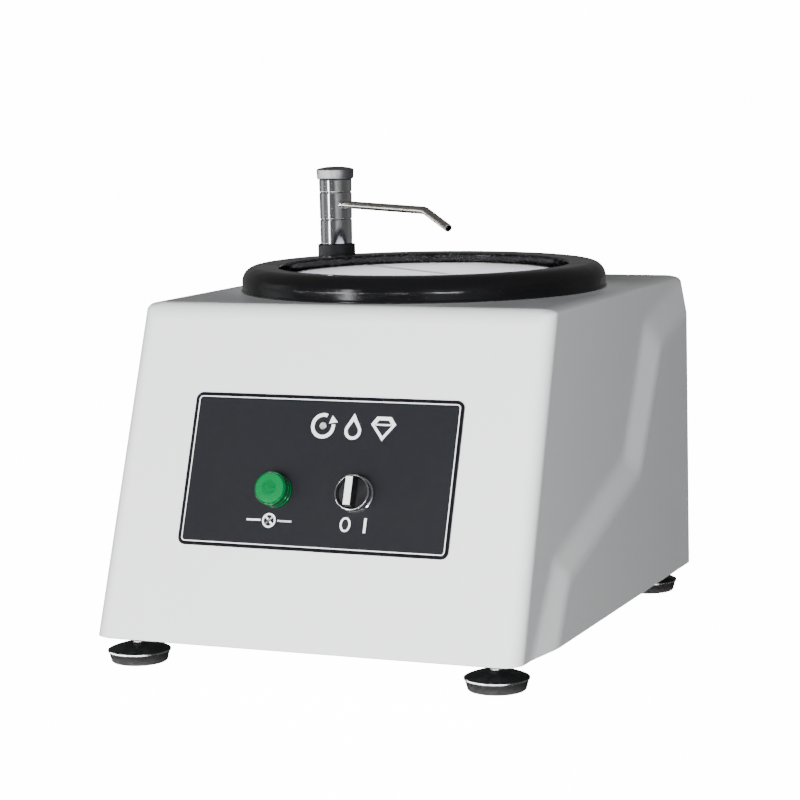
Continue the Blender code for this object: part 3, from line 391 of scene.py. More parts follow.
# %% White gelcoat
def gelcoat():
    finish = new_finish("white_gelcoat", (0.80, 0.81, 0.83), 0.3, Coat_Weight=0.25, Coat_Roughness=0.12)
    where = coordinates(finish)
    broad = cloud(finish, where, 7.0, 2.0)
    colour_by(finish, broad, (0.775, 0.790, 0.812), (0.815, 0.822, 0.835))
    roughness_by(finish, cloud(finish, where, 40.0, 2.0), 0.28, 0.34)
    relief(finish, cloud(finish, where, 16.0, 1.0), 0.00015, 0.5)
    relief(finish, cloud(finish, where, 420.0, 2.0), 0.000005, 0.5)
    return finish


# %% Polished black resin
SKIRT_RADIUS = 0.131          # spots are thick inside this radius and rare outside it


def black_resin():
    finish = new_finish("gloss_black_resin", (0.0025, 0.0025, 0.003), 0.08)
    where = coordinates(finish)
    inside = spread(finish, distance_from_axis(finish, AT_DISC), 1.0, 0.03,
                    SKIRT_RADIUS - 0.002, SKIRT_RADIUS + 0.001)
    dots = times(finish, specks(finish, where, 620.0, 0.36), cloud(finish, where, 130.0, 3.0))
    colour_by(finish, times(finish, dots, inside), (0.0025, 0.0025, 0.003), (0.12, 0.12, 0.13))
    roughness_by(finish, cloud(finish, where, 60.0, 4.0), 0.07, 0.17)
    relief(finish, cloud(finish, coordinates(finish, None, (1, 1, 2.5)), 38.0, 1.5), 0.0012, 0.55)
    relief(finish, dots, 0.00008, 0.4)
    return finish


# %% Plain plastics and rubber
def fine_plastic(name, colour, low, high, grain=900.0, depth=0.00004, shine=0.5):
    finish = new_finish(name, colour, low, Specular_IOR_Level=shine)
    where = coordinates(finish)
    worn = tuple(c * 1.5 + 0.004 for c in colour)
    colour_by(finish, spread(finish, cloud(finish, where, 90.0, 5.0), 0.0, 1.0, 0.45, 0.75), colour, worn)
    roughness_by(finish, cloud(finish, where, 160.0, 3.0), low, high)
    relief(finish, cloud(finish, where, grain, 2.0), depth, 0.6)
    return finish


def rubber():
    """Dull black rubber that picks up pale dust towards the bench."""
    finish = new_finish("foot_rubber", (0.016, 0.016, 0.016), 0.75)
    where = coordinates(finish)
    height = add_node(finish, "ShaderNodeSeparateXYZ")
    wire(finish, where, height.inputs["Vector"])
    low_down = spread(finish, height.outputs["Z"], 1.0, 0.0, 0.0, 0.006)
    dust = times(finish, low_down, cloud(finish, where, 300.0, 5.0))
    colour_by(finish, dust, (0.014, 0.014, 0.015), (0.085, 0.082, 0.076))
    roughness_by(finish, cloud(finish, where, 250.0, 3.0), 0.62, 0.85)
    relief(finish, cloud(finish, where, 1200.0, 3.0), 0.00006, 0.7)
    return finish


def clear_hose():
    finish = new_finish("clear_hose", (0.62, 0.65, 0.66), 0.25, IOR=1.45, Transmission_Weight=0.35)
    where = coordinates(finish)
    colour_by(finish, cloud(finish, where, 70.0, 3.0), (0.55, 0.58, 0.59), (0.68, 0.70, 0.70))
    roughness_by(finish, cloud(finish, where, 200.0, 3.0), 0.2, 0.38)
    relief(finish, cloud(finish, where, 500.0, 2.0), 0.00005, 0.4)
    return finish


# %% [markdown]
# ### Metals
# Bright chrome shows mostly what surrounds it, so it only needs a hair of roughness and a few
# polishing scratches. Drawn and brushed metals have long thin streaks: noise squeezed along one
# axis does that, and the same function serves zinc, stainless steel, aluminium and brass.

# %% Metals
def metal(name, colour, low, high, place=None, stretch=(1, 1, 1), grain=500.0, depth=0.00002, tarnish=0.75):
    finish = new_finish(name, colour, low, 1.0)
    streaks = cloud(finish, coordinates(finish, place, stretch), grain, 3.0, 0.6)
    blotches = cloud(finish, coordinates(finish), 55.0, 4.0)
    dull = tuple(c * tarnish for c in colour)
    colour_by(finish, spread(finish, blotches, 0.0, 1.0, 0.4, 0.75), colour, dull)
    roughness_by(finish, streaks, low, high)
    relief(finish, streaks, depth, 0.5)
    return finish


def zinc():
    """Zinc plating: small crystals that each catch the light a little differently."""
    finish = metal("zinc_plate", (0.52, 0.53, 0.55), 0.30, 0.48, grain=260.0)
    crystals = add_node(finish, "ShaderNodeTexVoronoi", Scale=220.0)
    wire(finish, coordinates(finish), crystals.inputs["Vector"])
    shade = add_node(finish, "ShaderNodeSeparateColor")
    wire(finish, crystals.outputs["Color"], shade.inputs["Color"])
    colour_by(finish, shade.outputs["Red"], (0.44, 0.45, 0.47), (0.60, 0.61, 0.63))
    return finish


def windings():
    """Enamelled copper wire, wound in fine turns."""
    finish = metal("copper_windings", (0.55, 0.26, 0.12), 0.3, 0.45)
    wire_turns = add_node(finish, "ShaderNodeTexWave", Scale=260.0, Distortion=2.0)
    wire(finish, coordinates(finish, AT_DISC), wire_turns.inputs["Vector"])
    relief(finish, wire_turns.outputs["Fac"], 0.0004, 0.8)
    return finish


def hammered_enamel():
    finish = new_finish("motor_enamel", (0.10, 0.13, 0.17), 0.4)
    where = coordinates(finish)
    dimples = add_node(finish, "ShaderNodeTexVoronoi", Scale=330.0)
    wire(finish, where, dimples.inputs["Vector"])
    colour_by(finish, dimples.outputs["Distance"], (0.075, 0.10, 0.135), (0.13, 0.165, 0.21))
    roughness_by(finish, cloud(finish, where, 120.0, 3.0), 0.32, 0.5)
    relief(finish, dimples.outputs["Distance"], 0.0003, 0.6)
    return finish


# %% [markdown]
# ### Cloth
# The disc carries a flocked polishing cloth: a pale, slightly violet nap with darker flecks and
# faint rings where stones have run. The rings are noise read along the distance to the axis.

# %% Polishing cloth
def polishing_cloth():
    finish = new_finish("flocked_cloth", (0.70, 0.68, 0.74), 0.95, Sheen_Weight=0.4, Sheen_Roughness=0.5)
    where = coordinates(finish)
    nap = cloud(finish, where, 900.0, 5.0, 0.7)
    flecks = times(finish, specks(finish, where, 330.0, 0.30), cloud(finish, where, 45.0, 3.0))
    rings = add_node(finish, "ShaderNodeTexNoise", noise_dimensions="1D", Scale=160.0, Detail=3.0)
    wire(finish, distance_from_axis(finish, AT_DISC), rings.inputs["W"])
    worn = spread(finish, rings.outputs["Fac"], 0.0, 0.5, 0.4, 0.8)
    base = blend_colours(finish, nap, (0.50, 0.48, 0.58), (0.80, 0.78, 0.88))
    base = blend_colours(finish, worn, base, (0.62, 0.60, 0.66))
    colour_by(finish, flecks, base, (0.20, 0.19, 0.22))
    roughness_by(finish, nap, 0.85, 1.0)
    relief(finish, nap, 0.0005, 0.8)
    relief(finish, cloud(finish, where, 2600.0, 2.0), 0.0002, 0.7)
    return finish


# %% [markdown]
# ### Panel, print and lamp
# The panel is printed film with a fine grain, and white ink lies on it. The lamp's lens is bright
# green plastic, moulded with slanting ribs in its middle; painted shade darkens their grooves into thin lines.

# %% Panel film and ink
def panel_film(name, colour, low, high):
    finish = new_finish(name, colour, low, Specular_IOR_Level=0.25)
    where = coordinates(finish, AT_PANEL)
    haze = cloud(finish, where, 14.0, 3.0)
    colour_by(finish, haze, tuple(c * 0.90 for c in colour), tuple(c * 1.10 for c in colour))
    roughness_by(finish, cloud(finish, where, 120.0, 4.0), low, high)
    relief(finish, cloud(finish, where, 1700.0, 2.0), 0.00003, 0.6)
    return finish


def white_ink():
    finish = new_finish("white_ink", (0.78, 0.79, 0.82), 0.45)
    where = coordinates(finish, AT_PANEL)
    colour_by(finish, cloud(finish, where, 380.0, 4.0), (0.72, 0.73, 0.77), (0.84, 0.85, 0.87))
    roughness_by(finish, cloud(finish, where, 600.0, 2.0), 0.38, 0.55)
    relief(finish, cloud(finish, where, 1500.0, 2.0), 0.00002, 0.5)
    return finish


# %% Green lens and its collar
CONTROL_X = 0.0354
CONTROL_DROP = -0.0160
AT_LAMP = AT_PANEL @ Matrix.Translation((-CONTROL_X, CONTROL_DROP, 0))
AT_SELECTOR = AT_PANEL @ Matrix.Translation((CONTROL_X, CONTROL_DROP, 0))
RIB_TILT = math.radians(-28)
RIB_PATCH = 0.0072            # radius of the ribbed patch on the lens


def ribbed_green():
    finish = new_finish("green_lens", (0.0, 0.12, 0.032), 0.25, Specular_IOR_Level=0.15,
                        Emission_Color=(0.0, 0.12, 0.032, 1), Emission_Strength=0.2)
    ribs = add_node(finish, "ShaderNodeTexWave", Scale=290.0, Distortion=0.6, Detail=2.0)
    wire(finish, coordinates(finish, AT_LAMP @ Matrix.Rotation(RIB_TILT, 4, "Z")), ribs.inputs["Vector"])
    patch = spread(finish, distance_from_axis(finish, AT_LAMP), 1.0, 0.0, RIB_PATCH - 0.0018, RIB_PATCH)
    broken = spread(finish, cloud(finish, coordinates(finish, AT_LAMP), 520.0, 2.0), 0.35, 1.0)
    # Painted shade: inside the ribbed patch, the colour and the glow are darkened in the grooves between the ribs,
    # broken up by noise.
    groove_shade_mask = spread(finish, ribs.outputs["Fac"], 1.0, 0.0, 0.15, 0.5)
    painted_groove_shade = times(finish, times(finish, groove_shade_mask, patch), broken)
    green = colour_by(finish, painted_groove_shade, (0.0, 0.12, 0.032), (0.0, 0.03, 0.010))
    wire(finish, green, shader_of(finish).inputs["Emission Color"])
    roughness_by(finish, cloud(finish, coordinates(finish, AT_LAMP), 300.0, 3.0), 0.2, 0.34)
    relief(finish, times(finish, ribs.outputs["Fac"], patch), 0.0001, 0.5)
    return finish


def glossy_green():
    finish = new_finish("green_collar", (0.0, 0.07, 0.02), 0.08, Coat_Weight=0.4, Coat_Roughness=0.04)
    where = coordinates(finish, AT_LAMP, (1, 1, 0.15))
    bands = cloud(finish, where, 260.0, 2.0)
    colour_by(finish, bands, (0.0, 0.030, 0.008), (0.0, 0.13, 0.035))
    roughness_by(finish, cloud(finish, where, 500.0, 2.0), 0.05, 0.14)
    relief(finish, bands, 0.0001, 0.3)
    return finish


# %% Make each finish once
SPOUT_ANGLE = math.radians(-38)
AT_SPOUT = AT_FAUCET @ Matrix.Rotation(SPOUT_ANGLE, 4, "Z")
STREAKS_UP = (1, 1, 0.02)
STREAKS_ALONG = (0.03, 1, 1)

FINISH = {
    "white_gelcoat": gelcoat(),
    "gloss_black": black_resin(),
    "matt_black": fine_plastic("matt_black_plastic", (0.009, 0.009, 0.010), 0.42, 0.6, shine=0.3),
    "black_enamel": fine_plastic("black_enamel", (0.008, 0.009, 0.009), 0.30, 0.42, 500.0, 0.00005, 0.15),
    "rubber": rubber(),
    "hose": clear_hose(),
    "chrome": metal("bright_chrome", (0.80, 0.81, 0.83), 0.04, 0.09, AT_FAUCET, STREAKS_UP, 700.0, 0.000006,
                    0.92),
    "stainless": metal("satin_stainless", (0.58, 0.56, 0.51), 0.20, 0.33, AT_SPOUT, STREAKS_ALONG, 900.0),
    "satin_grey": metal("satin_cap", (0.40, 0.40, 0.42), 0.34, 0.48, AT_FAUCET, STREAKS_UP, 1100.0),
    "aluminium": metal("turned_aluminium", (0.66, 0.67, 0.69), 0.28, 0.42, AT_DISC, (1, 1, 1), 900.0),
    "steel": zinc(),
    "brass": metal("machined_brass", (0.70, 0.52, 0.25), 0.24, 0.40),
    "copper": windings(),
    "motor_enamel": hammered_enamel(),
    "cloth": polishing_cloth(),
    "panel_black": panel_film("panel_film", (0.0100, 0.0105, 0.0125), 0.42, 0.55),
    "panel_edge": panel_film("panel_edge", (0.003, 0.003, 0.004), 0.30, 0.42),
    "white_mark": white_ink(),
    "green_lens": ribbed_green(),
    "green_collar": glossy_green(),
    "bright_rim": metal("bright_rim", (0.66, 0.67, 0.66), 0.18, 0.34, grain=900.0),
}
print(len(FINISH), "finishes")

# %% [markdown]
# ## Modelling kit
# Most pieces here are turned: a profile is drawn point by point with Extrude, spun round Z, and
# its doubles are merged. The others start from outlines drawn as one face each. Modifiers are
# added and applied at once, as one would by hand, and a finished piece is carried to its place
# in its own mesh, so its object stays at the origin.

# %% Selecting and editing
MERGE = 0.00001


def make_active(piece):
    bpy.ops.object.select_all(action="DESELECT")
    piece.select_set(True)
    bpy.context.view_layer.objects.active = piece


def start_editing(piece):
    make_active(piece)
    bpy.ops.object.mode_set(mode="EDIT")
    bpy.ops.mesh.select_mode(type="VERT")
    bpy.ops.mesh.select_all(action="DESELECT")


def stop_editing():
    bpy.ops.object.mode_set(mode="OBJECT")


def select_faces(piece, test):
    """In edit mode, select the faces whose centre and normal pass a test."""
    bpy.ops.mesh.select_mode(type="FACE")
    mesh = bmesh.from_edit_mesh(piece.data)
    for face in mesh.faces:
        face.select_set(bool(test(face.calc_center_median(), face.normal)))
    bmesh.update_edit_mesh(piece.data)


def select_edges(piece, test):
    """In edit mode, select the edges whose two ends pass a test."""
    bpy.ops.mesh.select_mode(type="EDGE")
    mesh = bmesh.from_edit_mesh(piece.data)
    for edge in mesh.edges:
        edge.select_set(bool(test(edge.verts[0].co, edge.verts[1].co)))
    bmesh.update_edit_mesh(piece.data)


def tidy_mesh():
    """In edit mode, merge doubles and turn every face outwards."""
    bpy.ops.mesh.select_all(action="SELECT")
    bpy.ops.mesh.remove_doubles(threshold=MERGE)
    bpy.ops.mesh.normals_make_consistent(inside=False)


def apply_modifier(piece, kind, **settings):
    make_active(piece)
    bpy.ops.object.modifier_add(type=kind)
    modifier = piece.modifiers[-1]
    for name, value in settings.items():
        setattr(modifier, name, value)
    bpy.ops.object.modifier_apply(modifier=modifier.name)
    return piece


# %% Turning, drawing, cutting
def lathe(name, profile, sides=96, closed=False):
    """Spin a profile of (radius, height) points round Z; closed joins its ends into a ring."""
    points = list(profile) + ([profile[0]] if closed else [])
    bpy.ops.object.select_all(action="DESELECT")
    bpy.ops.mesh.primitive_plane_add(size=0.001)
    piece = bpy.context.object
    piece.name = name
    start_editing(piece)
    bpy.ops.mesh.select_all(action="SELECT")
    bpy.ops.mesh.merge(type="CENTER")
    bpy.ops.transform.translate(value=(points[0][0], 0, points[0][1]))
    for (r0, z0), (r1, z1) in zip(points, points[1:]):
        bpy.ops.mesh.extrude_vertices_move(TRANSFORM_OT_translate={"value": (r1 - r0, 0, z1 - z0)})
    bpy.ops.mesh.select_all(action="SELECT")
    bpy.ops.mesh.remove_doubles(threshold=MERGE)
    bpy.ops.mesh.spin(steps=sides, angle=2 * math.pi, center=(0, 0, 0), axis=(0, 0, 1))
    tidy_mesh()
    stop_editing()
    return piece


def start_drawing(name):
    """An empty mesh to draw outlines in."""
    bpy.ops.object.select_all(action="DESELECT")
    bpy.ops.mesh.primitive_plane_add(size=0.001)
    piece = bpy.context.object
    piece.name = name
    start_editing(piece)
    bpy.ops.mesh.select_all(action="SELECT")
    bpy.ops.mesh.delete(type="VERT")
    return piece


def draw_face(piece, points):
    """In edit mode, add one face through the points: a circle with as many corners, pulled to them."""
    bpy.ops.mesh.select_all(action="DESELECT")
    bpy.ops.mesh.primitive_circle_add(vertices=len(points), radius=0.01, fill_type="NGON")
    mesh = bmesh.from_edit_mesh(piece.data)
    drawn = next(face for face in mesh.faces if face.select)
    for corner, point in zip(drawn.verts, points):
        corner.co = point
    bmesh.update_edit_mesh(piece.data)


def cut(piece, tool, operation="DIFFERENCE"):
    apply_modifier(piece, "BOOLEAN", operation=operation, object=tool, solver="EXACT")
    bpy.data.objects.remove(tool)
    return piece


def carry(piece, place):
    """Move a piece to its place and apply that to its mesh."""
    make_active(piece)
    piece.matrix_world = place
    bpy.ops.object.transform_apply(location=True, rotation=True, scale=True)
    return piece


def soften(piece, width, steps=3, angle=28):
    """Round every edge that is sharper than an angle."""
    return apply_modifier(piece, "BEVEL", width=width, segments=steps, limit_method="ANGLE",
                          angle_limit=math.radians(angle), use_clamp_overlap=True)


def shade(piece, angle=35):
    make_active(piece)
    bpy.ops.object.shade_smooth_by_angle(angle=math.radians(angle))
    return apply_modifier(piece, "WEIGHTED_NORMAL", keep_sharp=True)


def arc(centre, radius, start, end, steps):
    """Points on an arc of a profile, angles in degrees."""
    angles = [math.radians(start + (end - start) * i / steps) for i in range(steps + 1)]
    return [(centre[0] + radius * math.cos(a), centre[1] + radius * math.sin(a)) for a in angles]


def plug(radius, bottom, top):
    return [(0, top), (radius, top), (radius, bottom), (0, bottom)]


def band(outer, inner, bottom, top):
    return [(outer, top), (outer, bottom), (inner, bottom), (inner, top)]


def finish_piece(piece, slot, *nodes, body=None, extra=()):
    """Give a piece its finish, its body and the plain solids that it stands for."""
    piece.data.materials.clear()
    for name in (slot, *extra):
        piece.data.materials.append(FINISH[name])
    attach(piece, body or BODY_OF[nodes[0]])
    if nodes:
        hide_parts(*nodes)
    print(piece.name, len(piece.data.polygons), "faces", [round(d * 1000, 1) for d in piece.dimensions])
    return piece


def turned(name, profile, sides, edges, place, smooth, slot, *nodes, closed=True, body=None):
    """Turn a profile, round its edges by (width, steps, angle), carry it to its place, finish it."""
    piece = lathe(name, profile, sides, closed)
    soften(piece, *edges)
    shade(carry(piece, place), smooth)
    return finish_piece(piece, slot, *nodes, body=body)


def box(name, size, centre):
    bpy.ops.object.select_all(action="DESELECT")
    bpy.ops.mesh.primitive_cube_add(size=1.0)
    piece = bpy.context.object
    piece.name = name
    piece.scale, piece.location = size, centre
    bpy.ops.object.transform_apply(location=True, rotation=True, scale=True)
    return piece


def face_up(piece):
    """Turn a flat sheet over if it looks down."""
    if piece.data.polygons[0].normal.z < 0:
        start_editing(piece)
        bpy.ops.mesh.select_all(action="SELECT")
        bpy.ops.mesh.flip_normals()
        stop_editing()


# %% [markdown]
# ## The moulded housing
# The housing is one open-bottomed shell. Its flanks have two levels, joined by a sloped band that
# zigzags from the front corner up to the rear. One half is drawn face by face from the outline of
# that band, its edges are rounded, the body's more than the band's, and it is mirrored. Rounding
# comes before the mirror, so that both sides match, and Solidify gives the moulding its wall.

# %% Outline of the flank
HALF_RECESSED = (0.1847, 0.0055, -0.0125)   # half width, its change per metre back, and up
HALF_RAISED = (0.1912, 0.0, -0.0064)
BAND_INNER = ((0.0305, 0.0), (0.0862, 0.0686), (0.2691, 0.1241), (0.3357, 0.2341), (0.4606, 0.2655))
BAND_OUTER = ((0.0743, 0.0), (0.1050, 0.0486), (0.2977, 0.1050), (0.3659, 0.2108), (0.4606, 0.2334))
BODY_DEPTH, BODY_HEIGHT = BAND_INNER[-1]
FRONT_LEAN = 0.0978
CORNER_RADIUS = 0.024
CORNER_STEPS = 6
EDGE_RADIUS = 0.014
BAND_ROUND = 0.006
WALL = 0.004


def rounded_line(points, radius, steps):
    """A line through points of (back, up) with its inner corners rounded."""
    points = [Vector(p) for p in points]
    line = [points[0]]
    for before, corner, after in zip(points, points[1:], points[2:]):
        to_start = (before - corner).normalized()
        to_end = (after - corner).normalized()
        half = to_start.angle(to_end) / 2
        centre = corner + (to_start + to_end).normalized() * radius / math.sin(half)
        start = corner + to_start * radius / math.tan(half) - centre
        end = corner + to_end * radius / math.tan(half) - centre
        sweep = start.angle_signed(end)
        for i in range(steps + 1):
            line.append(centre + Matrix.Rotation(-sweep * i / steps, 2) @ start)
    return line + [points[-1]]


def on_flank(face, back, up):
    half, per_back, per_up = face
    return Vector((half + per_back * back + per_up * up, FRONT_Y + back, FLOOR_GAP + up))


# %% Draw one half
inner_line = [on_flank(HALF_RECESSED, *p) for p in rounded_line(BAND_INNER, CORNER_RADIUS, CORNER_STEPS)]
outer_line = [on_flank(HALF_RAISED, *p) for p in rounded_line(BAND_OUTER, CORNER_RADIUS, CORNER_STEPS)]
front_low = on_flank(HALF_RECESSED, 0, 0)
front_high = on_flank(HALF_RECESSED, FRONT_LEAN, BODY_HEIGHT)
rear_low = on_flank(HALF_RAISED, BODY_DEPTH, 0)
REAR_BODY = FRONT_Y + BODY_DEPTH


def to_middle(point):
    return Vector((0, point.y, point.z))


housing = start_drawing("housing_moulding")
draw_face(housing, [front_low, front_high] + inner_line[::-1])
draw_face(housing, outer_line + [rear_low])
for i in range(len(inner_line) - 1):
    draw_face(housing, [inner_line[i], inner_line[i + 1], outer_line[i + 1], outer_line[i]])
draw_face(housing, [front_low, front_high, to_middle(front_high), to_middle(front_low)])
draw_face(housing, [front_high, inner_line[-1], to_middle(inner_line[-1]), to_middle(front_high)])
draw_face(housing, [inner_line[-1], outer_line[-1], rear_low, to_middle(rear_low),
                    to_middle(inner_line[-1])])
tidy_mesh()
select_faces(housing, lambda centre, normal: centre.z > DECK - 0.001)
deck_faces = [face for face in bmesh.from_edit_mesh(housing.data).faces if face.select]
print("deck of the half looks up:", all(face.normal.z > 0 for face in deck_faces))


# %% Round the edges of the body and of the band, then mirror
def on_front(point):
    return abs(point.y - FRONT_Y - FRONT_LEAN * (point.z - FLOOR_GAP) / BODY_HEIGHT) < MERGE


def is_body_edge(a, b):
    """An edge of the front, the rear or the deck, but not of the open bottom or the middle."""
    if max(a.z, b.z) < FLOOR_GAP + MERGE or max(a.x, b.x) < MERGE:
        return False
    on_deck = min(a.z, b.z) > DECK - MERGE
    if min(a.x, b.x) < MERGE and not on_deck:
        return False
    return on_deck or (on_front(a) and on_front(b)) or min(a.y, b.y) > REAR_BODY - MERGE


def near_line(point, line):
    for start, end in zip(line, line[1:]):
        along = end - start
        share = min(max((point - start).dot(along) / along.length_squared, 0), 1)
        if (start + along * share - point).length < 10 * MERGE:
            return True
    return False


def is_band_edge(a, b):
    return any(all(near_line(p, line) for p in (a, b, (a + b) / 2)) for line in (inner_line, outer_line))


select_edges(housing, is_body_edge)
bpy.ops.mesh.bevel(offset=EDGE_RADIUS, segments=7, affect="EDGES", clamp_overlap=False)
select_edges(housing, is_band_edge)
bpy.ops.mesh.bevel(offset=BAND_ROUND, segments=4, affect="EDGES", clamp_overlap=False)
tidy_mesh()
stop_editing()
apply_modifier(housing, "MIRROR", use_axis=(True, False, False), use_mirror_merge=True,
               merge_threshold=MERGE)
start_editing(housing)
tidy_mesh()
stop_editing()
apply_modifier(housing, "SOLIDIFY", thickness=WALL, offset=-1.0, use_even_offset=True)
print("moulding", [round(d, 4) for d in housing.dimensions])

# %% Cut the openings
DECK_HOLE = 0.138
CONTROL_HOLE = 0.0113
SHANK_HOLE = 0.0083
REAR_HOLES = (("drain_outlet", 0.0098), ("water_inlet", 0.0073), ("cable_gland", 0.0083))
FACING_REAR = Matrix.Rotation(math.radians(-90), 4, "X")


def cutter(radius, place, sides=48, reach=0.02):
    return carry(lathe("cutter", plug(radius, -reach, reach), sides), place)


def at_rear(node):
    centre = middle(node)
    return Matrix.Translation((centre.x, REAR_BODY, centre.z)) @ FACING_REAR


cut(housing, cutter(DECK_HOLE, AT_DISC, 128))
cut(housing, cutter(SHANK_HOLE, AT_FAUCET))
cut(housing, cutter(CONTROL_HOLE, AT_LAMP))
cut(housing, cutter(CONTROL_HOLE, AT_SELECTOR))
for node, radius in REAR_HOLES:
    cut(housing, cutter(radius, at_rear(node)))
shade(housing, 40)
finish_piece(housing, "white_gelcoat", "shell")

# %% [markdown]
# ## Splash ring and water tray
# The ring is a hollow black moulding with a round shoulder, a top that falls gently to the lip, and
# a skirt that hangs inside the deck's opening. It lifts off for cleaning. The tray below catches
# the water and lets it out through a drain. Both are turned from one closed profile.

# %% Splash ring
RING_RADIUS = radius_of("splash_ring")
RING_LOW, RING_TOP = heights_of("splash_ring")
LIP_RADIUS = 0.127
SHOULDER = 0.013
RING_WALL = 0.003
RING_FLARE = 0.0008           # the foot of the ring stands out from the wall above it
RING_TUCK = 0.00025           # the wall leans in a little towards its foot
SEAT = 0.0003

shoulder_at = (RING_RADIUS - RING_FLARE - SHOULDER, RING_TOP - SHOULDER)
lip_at = (LIP_RADIUS + 0.0022, RING_TOP - 0.0009 - 0.0022)
ring_profile = [(RING_RADIUS, SEAT), (RING_RADIUS, 0.0016),
                (RING_RADIUS - RING_FLARE - RING_TUCK, 0.0034), *arc(shoulder_at, SHOULDER, 0, 88, 14),
                *arc(lip_at, 0.0022, 88, 180, 7), (LIP_RADIUS, RING_LOW),
                (LIP_RADIUS + RING_WALL, RING_LOW), (LIP_RADIUS + RING_WALL, lip_at[1] - 0.001),
                (shoulder_at[0], RING_TOP - RING_WALL), *arc(shoulder_at, SHOULDER - RING_WALL, 80, 0, 8),
                (RING_RADIUS - RING_FLARE - RING_WALL, SEAT)]
turned("ring_moulding", ring_profile, 160, (0.0004, 2, 40), AT_DISC, 40, "gloss_black", "splash_ring")

# %% Water tray
TRAY_FLANGE = 0.148
TRAY_OUTSIDE = 0.1365
TRAY_WALL = 0.003
TRAY_FLOOR = -0.038
COLLAR_OUTSIDE = 0.032
COLLAR_BORE = 0.028
COLLAR_TOP = -0.017
DRAIN_HOLE = 0.0083

wall_in = TRAY_OUTSIDE - TRAY_WALL
tray_profile = [(TRAY_FLANGE, SEAT + 0.0025), (TRAY_FLANGE, SEAT), (TRAY_OUTSIDE, SEAT),
                *arc((TRAY_OUTSIDE - 0.008, TRAY_FLOOR - TRAY_WALL + 0.008), 0.008, 0, -90, 6),
                (COLLAR_BORE, TRAY_FLOOR - TRAY_WALL), (COLLAR_BORE, COLLAR_TOP),
                (COLLAR_OUTSIDE - 0.001, COLLAR_TOP),
                *arc((COLLAR_OUTSIDE + 0.003, TRAY_FLOOR + 0.003), 0.003, 180, 270, 4),
                *arc((wall_in - 0.007, TRAY_FLOOR + 0.007), 0.007, -90, 0, 6), (wall_in, SEAT + 0.0025)]
tray = lathe("tray_moulding", tray_profile, 128, closed=True)
soften(tray, 0.0005, 2, 40)
carry(tray, AT_DISC)
drain = middle("drain_fitting")
cut(tray, cutter(DRAIN_HOLE, Matrix.Translation((drain.x, drain.y, DECK + TRAY_FLOOR)), 32, 0.01))
shade(tray, 40)
finish_piece(tray, "gloss_black", "bowl")

# %% Drain strainer
FITTING_RADIUS = 0.0115
fitting_profile = [(0.0060, TRAY_FLOOR - 0.032), (0.0080, TRAY_FLOOR - 0.032),
                   (0.0080, TRAY_FLOOR + SEAT), (FITTING_RADIUS, TRAY_FLOOR + SEAT),
                   (FITTING_RADIUS, TRAY_FLOOR + 0.0014), (0.0100, TRAY_FLOOR + 0.0020),
                   (0.0060, TRAY_FLOOR + 0.0015)]
AT_DRAIN = Matrix.Translation((drain.x, drain.y, DECK))
turned("drain_fitting_turned", fitting_profile, 48, (0.0002, 2, 30), AT_DRAIN, 35, "matt_black",
       "drain_fitting")

# %% [markdown]
# ## Disc, cloth and clamp ring
# The disc is a turned aluminium plate with a tapered socket below. The cloth lies flat on it and
# is held at its edge by a thin metal hoop. The cloth is drawn as rings of faces, so that its nap
# can rise and fall by a tenth of a millimetre.

# %% Disc
DISC_RADIUS = radius_of("platen")
SOCKET_LOW, DISC_TOP = heights_of("platen")
DISC_UNDER = -0.0015
HUB_HIGH = -0.0025
SOCKET_TOP_RADIUS = 0.0143
SOCKET_MOUTH_RADIUS = 0.0158

disc_profile = [(0, DISC_TOP), (DISC_RADIUS, DISC_TOP), (DISC_RADIUS, DISC_UNDER + 0.002),
                (DISC_RADIUS - 0.002, DISC_UNDER), (0.108, DISC_UNDER), (0.106, DISC_UNDER + 0.0016),
                (0.034, DISC_UNDER + 0.0016), (0.030, DISC_UNDER), (0.027, DISC_UNDER),
                (0.024, SOCKET_LOW), (SOCKET_MOUTH_RADIUS, SOCKET_LOW),
                (SOCKET_TOP_RADIUS, HUB_HIGH + 0.0003), (0, HUB_HIGH + 0.0003)]
turned("disc_plate", disc_profile, 128, (0.0004, 2, 30), AT_DISC, 35, "aluminium", "platen", closed=False)

# %% Cloth
CLOTH_LOW, CLOTH_TOP = heights_of("polishing_cloth")
CLOTH_THICKNESS = CLOTH_TOP - CLOTH_LOW
NAP_HEIGHT = 0.00012
CLOTH_RINGS = 36

cloth_profile = [(DISC_RADIUS * i / CLOTH_RINGS, 0) for i in range(CLOTH_RINGS + 1)]
cloth = lathe("cloth_disc", cloth_profile, 128)
start_editing(cloth)
mesh = bmesh.from_edit_mesh(cloth.data)
for vertex in mesh.verts:
    vertex.co.z = NAP_HEIGHT * (noise.noise(vertex.co * 60) + 0.6 * noise.noise(vertex.co * 190)) / 1.6
bmesh.update_edit_mesh(cloth.data)
bpy.ops.mesh.select_all(action="SELECT")
bpy.ops.mesh.normals_make_consistent(inside=False)
stop_editing()
face_up(cloth)
apply_modifier(cloth, "SOLIDIFY", thickness=CLOTH_THICKNESS - 2 * NAP_HEIGHT, offset=-1.0)
shade(carry(cloth, AT_DISC @ Matrix.Translation((0, 0, CLOTH_TOP - NAP_HEIGHT))), 60)
finish_piece(cloth, "cloth", "polishing_cloth")

# %% Clamp ring
HOOP_RADIUS = radius_of("clamp_ring")
HOOP_LOW, HOOP_HIGH = heights_of("clamp_ring")
HOOP_WALL = 0.002

